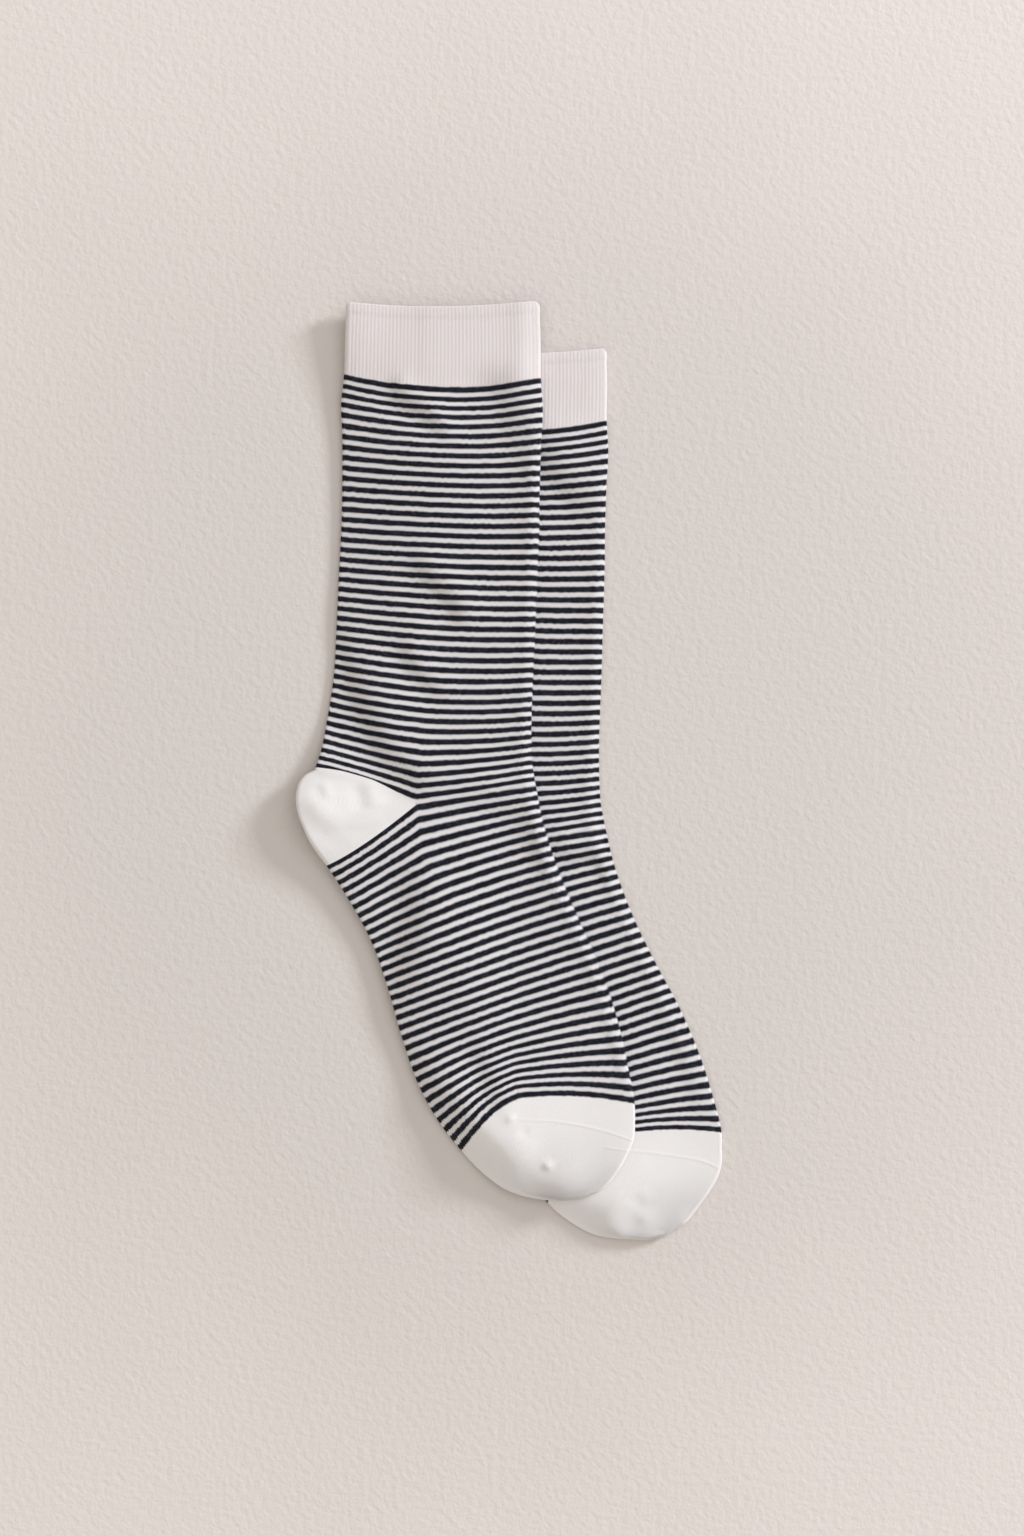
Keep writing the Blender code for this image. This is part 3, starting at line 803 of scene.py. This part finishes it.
class Recipe:
    """A material's nodes, from the yarn's numbers to its shader."""

    def __init__(self, name: str) -> None:
        """Start a material with its plain shader.

        Args:
            name: the material's name.
        """
        self.material = bpy.data.materials.new(name)
        self.material.use_nodes = True
        self.tree = self.material.node_tree
        self.shader = self.tree.nodes["Principled BSDF"]

    def feed(self, socket: bpy.types.NodeSocket, value: Any) -> None:
        """Set a socket, or link it to a value or another socket.

        Args:
            socket: the socket that is fed.
            value: a value, a socket, or what the socket is set to.
        """
        if isinstance(value, Value):
            value = value.socket
        if isinstance(value, bpy.types.NodeSocket):
            self.tree.links.new(value, socket)
        else:
            socket.default_value = value

    def node(self, kind: str, settings: dict[str, Any], inputs: dict[Any, Any]) -> bpy.types.Node:
        """Add one node.

        Args:
            kind: the node's type.
            settings: its own settings; "stops" are a ramp's places and values.
            inputs: values or links of its sockets, by name or number.

        Returns:
            The node.
        """
        node = self.tree.nodes.new(kind)
        for name, value in settings.items():
            if name == "stops":
                ramp = node.color_ramp
                while len(ramp.elements) < len(value):
                    ramp.elements.new(1.0)
                for element, (place, level) in zip(ramp.elements, value):
                    element.position, element.color = place, (level, level, level, 1.0)
            else:
                setattr(node, name, value)
        for name, value in inputs.items():
            self.feed(node.inputs[name], value)
        return node

    def value(self, node: bpy.types.Node, output: Any = 0) -> Value:
        """One output of a node as a value."""
        return Value(self, node.outputs[output])

    def maths(self, operation: str, *numbers: "Value | float") -> Value:
        """One Math node."""
        return self.value(self.node("ShaderNodeMath", {"operation": operation}, dict(enumerate(numbers))))

    def between(self, number: Value, low: float, high: float) -> Value:
        """Smooth step of a number from 0 at low to 1 at high."""
        settings = {"interpolation_type": "SMOOTHSTEP"}
        inputs = {"Value": number, "From Min": low, "From Max": high}
        return self.value(self.node("ShaderNodeMapRange", settings, inputs))

    def ramp(self, number: Value, stops: Sequence[Range]) -> Value:
        """A number looked up along a ramp of stops."""
        return self.value(self.node("ShaderNodeValToRGB", {"stops": stops}, {0: number}))

    def knit(self) -> tuple[Value, Value]:
        """The knitting's own coordinates.

        Returns:
            The wale and the stripe that a point is in.
        """
        place = self.node("ShaderNodeUVMap", {"uv_map": "knit"}, {})
        split = self.node("ShaderNodeSeparateXYZ", {}, {0: place.outputs[0]})
        return self.value(split, 0), self.value(split, 1)

    def chance(self, one: Value, other: Value) -> Value:
        """A random number for each pair of whole numbers."""
        pair = self.node("ShaderNodeCombineXYZ", {}, {0: one, 1: other}).outputs[0]
        settings = {"noise_dimensions": "2D"}
        return self.value(self.node("ShaderNodeTexWhiteNoise", settings, {"Vector": pair}))

    def noise(self, size: float, detail: float = 2.0) -> Value:
        """Soft noise in the object's space.

        Args:
            size: size of its patches in metres.
            detail: how many finer layers it has.

        Returns:
            The noise, about 0 to 1.
        """
        place = self.node("ShaderNodeTexCoord", {}, {})
        inputs = {"Vector": place.outputs["Object"], "Scale": 1.0 / size, "Detail": detail}
        return self.value(self.node("ShaderNodeTexNoise", {}, inputs))

    def mix(self, share: Value, one: Any, other: Any) -> bpy.types.NodeSocket:
        """Mix two colours, from the one where the share is 0 to the other where it is 1."""
        inputs = {0: share, 6: one, 7: other}
        return self.node("ShaderNodeMix", {"data_type": "RGBA"}, inputs).outputs[2]

    def bump(self, height: Value, distance: float) -> bpy.types.NodeSocket:
        """Normal of a surface that a height raises, in metres where the height is 1."""
        inputs = {"Height": height, "Distance": distance, "Strength": 1.0}
        return self.node("ShaderNodeBump", {}, inputs).outputs[0]

    def finish(
        self,
        colour: bpy.types.NodeSocket,
        normal: bpy.types.NodeSocket,
        matt: "Matt",
    ) -> bpy.types.Material:
        """Feed the shader.

        Args:
            colour: the colour's socket.
            normal: the normal's socket.
            matt: how the surface takes light.

        Returns:
            The material.
        """
        sockets = self.shader.inputs
        self.feed(sockets["Base Color"], colour)
        self.feed(sockets["Normal"], normal)
        self.feed(sockets["Roughness"], matt.roughness)
        self.feed(sockets["Specular IOR Level"], matt.specular)
        self.feed(sockets["Sheen Weight"], matt.sheen)
        self.feed(sockets["Sheen Roughness"], matt.sheen_roughness)
        return self.material


WHITE: Colour = (0.78, 0.745, 0.745, 1.0)
HEEL_WHITE: Colour = (0.872, 0.833, 0.813, 1.0)


@dataclass(frozen=True)
class Matt:
    """How a dull surface takes light."""

    roughness: float
    specular: float
    sheen: float = 0.0
    sheen_roughness: float = 0.5


@dataclass(frozen=True)
class Yarn:
    """A cotton yarn and the loops that it is knitted in.

    lean is how far a loop's legs slant, in courses, and unevenness how far its colour may
    stray. stripe_range bounds the navy bands. The heel's white cuts into the band above it
    from heel_limit stripes on, by a depth that heel_cut_stops give across the tube.
    """

    name: str
    white: Colour
    heel_white: Colour = HEEL_WHITE
    # Painted shade: the white yarn is darkened towards this colour in the hollows between loops
    gap_shade: Colour = (0.50, 0.46, 0.44, 1.0)
    gap_shade_share: float = 0.5
    gap_shade_range: Range = (0.75, 0.1)
    navy: Colour = (0.006, 0.0055, 0.011, 1.0)
    navy_half: float = 0.285
    navy_edge: float = 0.012
    fleck: Colour = (0.042, 0.045, 0.066, 1.0)
    fleck_limit: float = 0.98
    fleck_patches: float = 0.5
    fleck_range: Range = (0.9, 0.2)
    patch_size: float = 26 * MM
    lean: float = 0.9
    unevenness: float = 0.5
    loop_height: float = 0.16 * MM
    fuzz_size: float = 0.5 * MM
    fuzz_detail: float = 4.0
    fuzz_share: float = 0.5
    matt: Matt = Matt(roughness=0.92, specular=0.15, sheen=0.03, sheen_roughness=0.6)
    stripe_range: Range = (-0.5, 71.5)
    heel_limit: float = 39.5
    heel_cut_stops: tuple[Range, ...] = ((0.0, 0.80), (0.12, 0.50), (0.26, 0.42), (0.40, 0.9))

    def loops(self, wale: Value, stripe: Value) -> tuple[Value, Value, Value]:
        """Loops of the knitting.

        Args:
            wale: the wale that a point is in.
            stripe: the stripe that it is in.

        Returns:
            The height of a loop's two legs, the course that a point is in, and the place in its wale.
        """
        leg = (wale.of("FRACT") * 2.0 - 1.0).of("ABSOLUTE")
        course = stripe * float(COURSES) - leg * self.lean
        across = (leg * math.pi).of("SINE")
        along = (course.of("FRACT") * math.pi).of("SINE")
        return (across * along).of("SQRT"), course, leg

    def bands(self, recipe: Recipe, wale: Value, stripe: Value, course: Value) -> Value:
        """Navy bands, half of each stripe, with the toothed edges of their loops.

        Args:
            recipe: the material's nodes.
            wale: the wale that a point is in.
            stripe: the stripe that it is in.
            course: the course that it is in.

        Returns:
            1 on navy yarn, else 0.
        """
        level = (course + self.lean / 2) / float(COURSES)
        edge = recipe.chance(wale.of("FLOOR"), (level * 2.0 + 0.5).of("FLOOR"))
        level = level + (edge - 0.5) * (self.unevenness / COURSES)
        away = ((level + 0.5).of("FRACT") - 0.5).of("ABSOLUTE")
        inside = (stripe > self.stripe_range[0]) * (stripe < self.stripe_range[1])
        outer, inner = self.navy_half + self.navy_edge, self.navy_half - self.navy_edge
        return (1.0 - recipe.between(away, inner, outer)) * inside

    def heel_cut(self, recipe: Recipe, wale: Value, stripe: Value) -> Value:
        """Where the heel's white cuts into the navy band above it.

        Args:
            recipe: the material's nodes.
            wale: the wale that a point is in.
            stripe: the stripe that it is in.

        Returns:
            1 in the cut, else 0.
        """
        share = recipe.maths("MINIMUM", wale, float(WALES) - wale) / (WALES / 2)
        limit = self.heel_limit + recipe.ramp(share, self.heel_cut_stops)
        return (stripe > limit) * (stripe < (LEG_END + FOOT_START) / 2) * (share < PIVOT)

    def make(self) -> bpy.types.Material:
        """Knit the material.

        Returns:
            The material.
        """
        recipe = Recipe(self.name)
        wale, stripe = recipe.knit()
        loop, course, leg = self.loops(wale, stripe)
        cut = self.heel_cut(recipe, wale, stripe)
        navy = self.bands(recipe, wale, stripe, course) * (1.0 - cut)
        luck = recipe.chance(wale.of("FLOOR") + 0.5, course.of("FLOOR"))
        patch = recipe.noise(self.patch_size)
        lucky = luck > self.fleck_limit - self.fleck_patches * patch
        fleck = lucky * recipe.between(leg, *self.fleck_range) * loop
        dark = recipe.mix(fleck, self.navy, self.fleck)
        white = recipe.mix(cut, self.white, self.heel_white)
        # Painted shade in the hollows between loops, on the white yarn only
        gap_shade = recipe.between(loop, *self.gap_shade_range) * self.gap_shade_share
        colour = recipe.mix(navy, recipe.mix(gap_shade, white, self.gap_shade), dark)
        fuzz = recipe.noise(self.fuzz_size, self.fuzz_detail)
        height = loop + fuzz * self.fuzz_share
        return recipe.finish(colour, recipe.bump(height, self.loop_height), self.matt)


@dataclass(frozen=True)
class Plaster:
    """A pale plastered surface with a fine tooth, darker in an uneven round patch about the middle."""

    colour: Colour = (0.725, 0.652, 0.617, 1.0)
    darker_middle: Colour = (0.621, 0.563, 0.53, 1.0)
    darker_middle_range: Range = (0.14, 0.46)
    cloud_size: float = 120 * MM
    cloud_reach: float = 0.12
    grain_size: float = 3.2 * MM
    grain_height: float = 0.45 * MM
    detail: float = 3.0
    matt: Matt = Matt(roughness=0.95, specular=0.2)

    def make(self) -> bpy.types.Material:
        """Trowel the material.

        Returns:
            The material.
        """
        recipe = Recipe("pale_plaster")
        cloud = recipe.noise(self.cloud_size, self.detail)
        place = recipe.node("ShaderNodeTexCoord", {}, {}).outputs["Object"]
        reach = recipe.node("ShaderNodeVectorMath", {"operation": "LENGTH"}, {0: place})
        reach = recipe.value(reach, "Value") + (cloud - 0.5) * self.cloud_reach
        # Darker about the middle, fading out between the range's two reaches from the centre
        darker_middle = 1.0 - recipe.between(reach, *self.darker_middle_range)
        grain = recipe.noise(self.grain_size, self.detail)
        bump = recipe.bump(grain, self.grain_height)
        return recipe.finish(recipe.mix(darker_middle, self.colour, self.darker_middle), bump, self.matt)


# A range that lies past every stripe
NO_STRIPES: Range = (200.0, 201.0)

YARNS = {
    Slot.RIB: Yarn("white_ribbed_cotton", (0.825, 0.745, 0.737, 1.0)),
    Slot.STRIPES: Yarn("striped_cotton_jersey", WHITE),
    Slot.HEEL: Yarn("white_heel_cotton", HEEL_WHITE, stripe_range=NO_STRIPES),
    Slot.TOE: Yarn("white_toe_cotton", (0.905, 0.861, 0.841, 1.0)),
}


def grid_normals(grid: Array, closed: bool) -> Array:
    """Outward unit normals of a grid.

    Args:
        grid: points, rows by columns by three.
        closed: whether the last column meets the first.

    Returns:
        A normal for each point.
    """
    along = np.gradient(grid, axis=0)
    if closed:
        around = np.roll(grid, -1, axis=1) - np.roll(grid, 1, axis=1)
    else:
        around = np.gradient(grid, axis=1)
    normal = np.cross(along, around)
    return normal / np.maximum(np.linalg.norm(normal, axis=2, keepdims=True), TINY)


@dataclass
class Shell:
    """A knitted wall: its outside as a grid, and an inside that follows it.

    wale and stripe are the knitting's coordinates, spread over the grid, and left_out are
    the quads that an opening takes away.
    """

    name: str
    outside: Array
    wale: Array
    stripe: Array
    wall: float
    closed: bool = True
    left_out: Array | None = None

    def __post_init__(self) -> None:
        """Spread the knitting's coordinates over the whole grid."""
        self.wale = np.broadcast_to(self.wale, self.outside.shape[:2])
        self.stripe = np.broadcast_to(self.stripe, self.outside.shape[:2])

    def quads(self) -> tuple[Array, Array]:
        """Quads of the outside.

        Returns:
            Their corners as numbers of points, and their row and column.
        """
        rows, count = self.outside.shape[:2]
        columns = count if self.closed else count - 1
        i, j = np.meshgrid(np.arange(rows - 1), np.arange(columns), indexing="ij")
        k = (j + 1) % count
        corners = [i * count + j, (i + 1) * count + j, (i + 1) * count + k, i * count + k]
        kept = np.ones(i.shape, dtype=bool) if self.left_out is None else ~self.left_out
        return np.stack(corners, axis=-1)[kept], np.stack([i, j], axis=-1)[kept]

    def build(self) -> bpy.types.Object:
        """Make the mesh with both walls, their edges closed, and its two maps.

        Returns:
            The mesh object, in the scene.
        """
        inside = self.outside - grid_normals(self.outside, self.closed) * self.wall
        points = np.concatenate([self.outside.reshape(-1, 3), inside.reshape(-1, 3)]) * MM
        outer, places = self.quads()
        half = len(points) // 2
        edges = np.stack([outer, np.roll(outer, -1, axis=1)], axis=-1).reshape(-1, 2)
        keys = np.sort(edges, axis=1)
        first, times = np.unique(keys, axis=0, return_index=True, return_counts=True)[1:]
        loose = edges[first[times == 1]]
        sides = np.stack([loose[:, 1], loose[:, 0], loose[:, 0] + half, loose[:, 1] + half], axis=1)
        faces = np.concatenate([outer, outer[:, ::-1] + half, sides])
        mesh = bpy.data.meshes.new(self.name)
        mesh.from_pydata(points.tolist(), [], faces.tolist())
        self.map_knitting(mesh, faces, places, half)
        mesh.shade_smooth()
        self.sharpen(mesh, np.concatenate([loose, loose + half]))
        piece = bpy.data.objects.new(self.name, mesh)
        bpy.context.scene.collection.objects.link(piece)
        return piece

    def sharpen(self, mesh: bpy.types.Mesh, loose: Array) -> None:
        """Keep the cut edges of both walls crisp, so that pieces meet without a visible groove.

        Args:
            mesh: the mesh.
            loose: the cut edges, as pairs of points.
        """
        cut = {tuple(sorted(edge)) for edge in loose.tolist()}
        for edge in mesh.edges:
            if tuple(sorted(edge.vertices)) in cut:
                edge.use_edge_sharp = True

    def map_knitting(self, mesh: bpy.types.Mesh, faces: Array, places: Array, half: int) -> None:
        """Write the knitting's coordinates and a flat map of both walls.

        Args:
            mesh: the mesh that gets the maps.
            faces: every face's corners.
            places: row and column of each outside quad.
            half: how many points the outside has.
        """
        rows, count = self.outside.shape[:2]
        wale, stripe, columns = self.wale, self.stripe, count - 1
        if self.closed:
            wale = np.concatenate([wale, wale[:, :1] + WALES], axis=1)
            stripe = np.concatenate([stripe, stripe[:, :1]], axis=1)
            columns = count
        i, j = places[:, 0], places[:, 1]
        row, column = np.stack([i, i + 1, i + 1, i], axis=1), np.stack([j, j, j + 1, j + 1], axis=1)
        knit = np.stack([wale[row, column], stripe[row, column]], axis=-1)
        flat = np.stack([column / columns, row / (rows - 1)], axis=-1)
        outer, inner = (flat * size + corner for size, corner in (OUTSIDE_MAP, INSIDE_MAP))
        sides = faces[2 * len(places):] % half
        side_knit = np.stack([self.wale.reshape(-1)[sides], self.stripe.reshape(-1)[sides]], axis=-1)
        side_flat = np.stack([(sides % count) / count, (sides // count) / rows], axis=-1)
        side_flat = side_flat * OUTSIDE_MAP[0] + OUTSIDE_MAP[1]
        layers = {"knit": [knit, knit[:, ::-1], side_knit], "OFBake": [outer, inner[:, ::-1], side_flat]}
        for name, parts in layers.items():
            values = np.concatenate(parts).astype(np.float32)
            mesh.uv_layers.new(name=name).data.foreach_set("uv", values.reshape(-1))


class Flat(NamedTuple):
    """A piece's knitting laid flat, in metres: width all round, length, and area."""

    width: float
    length: float
    area: float


@dataclass
class Sock:
    """One sock: its pieces share their columns, so that they meet edge to edge.

    The rim's first rows are given in stripes from its edge, and its band is thicker down to
    band_end, where it steps in over band_step.
    """

    lay: Lay
    materials: dict[Slot, bpy.types.Material]
    leg_flat: Flat = Flat(0.19, 0.37, 0.066)
    heel_flat: Flat = Flat(0.095, 0.047, 0.0032)
    toe_flat: Flat = Flat(0.17, 0.052, 0.0068)
    cuff_flat: Flat = Flat(0.185, 0.036, 0.0066)
    fold_steps: int = 6
    back_columns: int = 28
    front_columns: int = 34
    leg_wall: float = 0.85
    cap_wall: float = 0.95
    cuff_wall: float = 1.5
    row_step: float = 0.25
    heel_rows: int = 45
    heel_stripes: float = 10.0
    toe_rows: int = 100
    tip_rows: int = 18
    tip_row: float = 81.45
    columns_a_wale: int = 4
    rim_rows: tuple[float, ...] = (0.0, 0.03, 0.08, 0.15)
    cuff_start: float = 0.3
    cuff_rows: int = 34
    corner_radius: float = 2.4
    corner_fade: float = 0.8
    rib_height: float = 0.1
    rim_round: float = 0.5
    rim_reach: float = 0.15
    band_height: float = 0.32
    band_end: float = 0.85
    band_step: float = 0.25

    def columns(self) -> Columns:
        """Columns of leg, heel and toe.

        Returns:
            The columns, one pair of them at the heel's point.
        """
        behind = np.linspace(0.0, PIVOT, self.back_columns + 1)
        before = np.linspace(PIVOT, 1.0, self.front_columns + 1)[1:]
        return Columns.around(self.fold_steps, np.concatenate([behind, before]))

    def dressed(self, shell: Shell, slot: Slot) -> bpy.types.Object:
        """Build a piece, give it its yarn and tell what it stands for.

        Args:
            shell: the knitted wall, named for the solid that it replaces.
            slot: its finish.

        Returns:
            The piece.
        """
        node = f"{self.lay.name}_{shell.name}"
        shell.name = node + "_knit"
        piece = shell.build()
        piece.data.materials.append(self.materials[slot])
        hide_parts(node)
        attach(piece, "root")
        return piece

    def leg_and_foot(self) -> bpy.types.Object:
        """Knit the striped tube, open at both ends and at the heel.

        Returns:
            The piece.
        """
        columns = self.columns()
        leg = np.linspace(CUFF_END, LEG_END, int((LEG_END - CUFF_END) / self.row_step) + 1)
        foot = np.linspace(FOOT_START, TOE_START, int((TOE_START - FOOT_START) / self.row_step) + 1)
        stripe = np.concatenate([leg, foot])
        points = self.lay.raised(self.lay.plan(stripe, columns)[0], columns)
        top, under = columns.pivots()
        left_out = np.zeros((len(stripe) - 1, len(columns.side)), dtype=bool)
        left_out[len(leg) - 1, :top] = True
        left_out[len(leg) - 1, under:] = True
        wale = columns.wales(columns.share())
        shell = Shell("leg_and_foot", points, wale, stripe[:, None], self.leg_wall, left_out=left_out)
        return self.dressed(shell, Slot.STRIPES)

    def heel(self) -> bpy.types.Object:
        """Knit the heel pocket, from the point above round the back fold to the point below.

        Returns:
            The piece.
        """
        every = self.columns()
        top, under = every.pivots()
        columns = every.picked([*range(top, -1, -1), *range(len(every.side) - 1, under - 1, -1)])
        turn = np.linspace(0.0, 1.0, self.heel_rows)
        points = self.lay.raised(self.lay.heel_plan(turn, columns), columns)
        share = columns.share()
        wale = columns.wales(share)
        wale = np.where(columns.side < 0, wale - WALES, wale)
        stripe = self.heel_stripes * np.minimum(turn, 1.0 - turn)[:, None] * (1.0 - share / share.max())
        back = slice(None, None, -1)
        shell = Shell("heel", points[:, back], wale[back], stripe[:, back], self.cap_wall, closed=False)
        return self.dressed(shell, Slot.HEEL)

    def toe(self) -> bpy.types.Object:
        """Knit the closed toe.

        Returns:
            The piece.
        """
        columns = self.columns()
        toe = np.linspace(TOE_START, TOE_BEND, self.toe_rows)[:-1]
        stripe = np.concatenate([toe, np.linspace(TOE_BEND, self.tip_row, self.tip_rows)])
        plan = self.lay.plan(stripe, columns)[0]
        tip = self.lay.course(np.array([TOE_TIP]))[0]
        plan = np.concatenate([plan, np.repeat(tip[None], plan.shape[1], axis=1)])
        stripe = np.append(stripe, TOE_TIP)
        points = self.lay.raised(plan, columns)
        points[-1] = points[-1].mean(axis=0)
        shell = Shell("toe", points, columns.wales(columns.share()), stripe[:, None], self.cap_wall)
        return self.dressed(shell, Slot.TOE)

    def cuff(self) -> bpy.types.Object:
        """Knit the ribbed cuff, its rim turned in.

        Returns:
            The piece.
        """
        count = int(WALES / 2 * self.columns_a_wale)
        columns = Columns.around(self.fold_steps, np.linspace(0.0, 1.0, count - 2 * self.fold_steps))
        rows = np.linspace(RIM + self.cuff_start, CUFF_END, self.cuff_rows)
        stripe = np.concatenate([RIM + np.array(self.rim_rows), rows])
        edge = stripe[:, None] - RIM
        plan, share = self.lay.plan(stripe, columns)
        width = np.hypot(*(plan[0, 0] - plan[0, len(columns.side) // 2]))
        inset = np.clip(np.minimum(share, 1.0 - share) * width / self.corner_radius, 0.0, 1.0)
        corner = self.corner_radius * (1.0 - np.sqrt(1.0 - (1.0 - inset) ** 2))
        plan[..., 1] -= corner * np.exp(-edge / self.corner_fade)
        points = self.lay.raised(plan, columns)
        wale = columns.wales(share)
        rib = self.rib_height * (np.cos(math.pi * (wale - 0.5)) - 1.0) / 2
        turned = -self.rim_round * np.clip(1.0 - edge / self.rim_reach, 0.0, 1.0) ** 2
        band = self.band_height * (1.0 - eased((edge - self.band_end) / self.band_step))
        points = points + grid_normals(points, True) * (rib + band + turned)[..., None]
        points[..., 2] = np.maximum(points[..., 2], 0.0)
        shell = Shell("cuff", points, wale, stripe[:, None], self.cuff_wall)
        return self.dressed(shell, Slot.RIB)


@dataclass(frozen=True)
class Studio:
    """The floor, the lights and the camera, in metres."""

    floor_side: float = 5.0
    floor_drop: float = 0.0001
    camera_height: float = 1.5
    camera_range: Range = (0.05, 20.0)
    sensor_width: float = 36.0
    frame_height: float = 0.722
    middle: Range = (0.0012, 0.0014)
    seen_height: float = 0.003
    light_distance: float = 5.0
    light_side: float = 1.04
    light_azimuth: float = 29.0
    light_colour: tuple[float, float, float] = (0.95, 1.0, 1.08)
    light_elevation: float = 21.0
    light_power: float = 207.0
    fill_distance: float = 5.5
    fill_side: float = 4.7
    fill_elevation: float = 62.0
    fill_power: float = 77.0
    back_elevation: float = 65.0
    back_power: float = 48.0
    back_turned: float = 180.0
    sky_colour: Colour = (1.0, 0.967, 0.90, 1.0)
    sky: float = 0.505

    def floor(self) -> None:
        """Lay a plain plastered floor."""
        work = bmesh.new()
        bmesh.ops.create_grid(work, x_segments=1, y_segments=1, size=self.floor_side / 2)
        bmesh.ops.translate(work, verts=work.verts, vec=(0.0, 0.0, -self.floor_drop))
        mesh = bpy.data.meshes.new("floor")
        work.to_mesh(mesh)
        work.free()
        mesh.materials.append(Plaster().make())
        floor = bpy.data.objects.new("floor", mesh)
        bpy.context.scene.collection.objects.link(floor)

    def lamp(
        self,
        name: str,
        power: float,
        elevation: float,
        side: float,
        distance: float,
        turned: float = 0.0,
        colour: Sequence[float] | None = None,
    ) -> None:
        """Hang a square soft light, aimed at the socks.

        Args:
            name: the light's name.
            power: its power in watts.
            elevation: its height above the floor, in degrees.
            side: the side of its square.
            distance: how far it is from the socks.
            turned: how far it stands round from the low light, in degrees.
            colour: its colour, the low light's if none is given.
        """
        lamp = bpy.data.lights.new(name, "AREA")
        lamp.shape, lamp.size = "SQUARE", side
        lamp.energy, lamp.color = power, colour or self.light_colour
        light = bpy.data.objects.new(name, lamp)
        azimuth, height = math.radians(self.light_azimuth + turned), math.radians(elevation)
        reach = distance * math.cos(height)
        light.location = (reach * math.cos(azimuth), reach * math.sin(azimuth), distance * math.sin(height))
        light.rotation_euler = (math.pi / 2 - height, 0.0, azimuth + math.pi / 2)
        bpy.context.scene.collection.objects.link(light)

    def lights(self) -> None:
        """Hang a soft low light from the right, two wide ones high up and an even light all round."""
        low, wide = (self.light_side, self.light_distance), (self.fill_side, self.fill_distance)
        back_colour = self.sky_colour[:3]
        self.lamp("low_light", self.light_power, self.light_elevation, *low)
        self.lamp("wide_light", self.fill_power, self.fill_elevation, *wide)
        self.lamp("back_light", self.back_power, self.back_elevation, *wide, self.back_turned, back_colour)
        world = bpy.data.worlds.new("room_light")
        world.use_nodes = True
        back = world.node_tree.nodes["Background"]
        back.inputs["Color"].default_value = self.sky_colour
        back.inputs["Strength"].default_value = self.sky
        bpy.context.scene.world = world
        bpy.context.scene.view_settings.view_transform = "Standard"

    def camera(self) -> None:
        """Set up a camera straight above, its top edge towards the cuffs."""
        lens = bpy.data.cameras.new("camera")
        lens.sensor_width = self.sensor_width
        lens.lens = lens.sensor_width * (self.camera_height - self.seen_height) / self.frame_height
        lens.clip_start, lens.clip_end = self.camera_range
        camera = bpy.data.objects.new("camera", lens)
        camera.location = (*self.middle, self.camera_height)
        bpy.context.scene.collection.objects.link(camera)
        bpy.context.scene.camera = camera


def main() -> None:
    """Build and dress both socks, then the floor, lights and camera."""
    logging.basicConfig(level=logging.INFO, format="%(message)s")
    materials = {slot: yarn.make() for slot, yarn in YARNS.items()}
    for lay in (LOWER, UPPER):
        sock = Sock(lay, materials)
        for make in (sock.leg_and_foot, sock.heel, sock.toe, sock.cuff):
            piece = make()
            size = (len(piece.data.vertices), len(piece.data.polygons))
            LOG.info("%s: %d points, %d faces", piece.name, *size)
    studio = Studio()
    studio.floor()
    studio.lights()
    studio.camera()


if __name__ == "__main__":
    main()
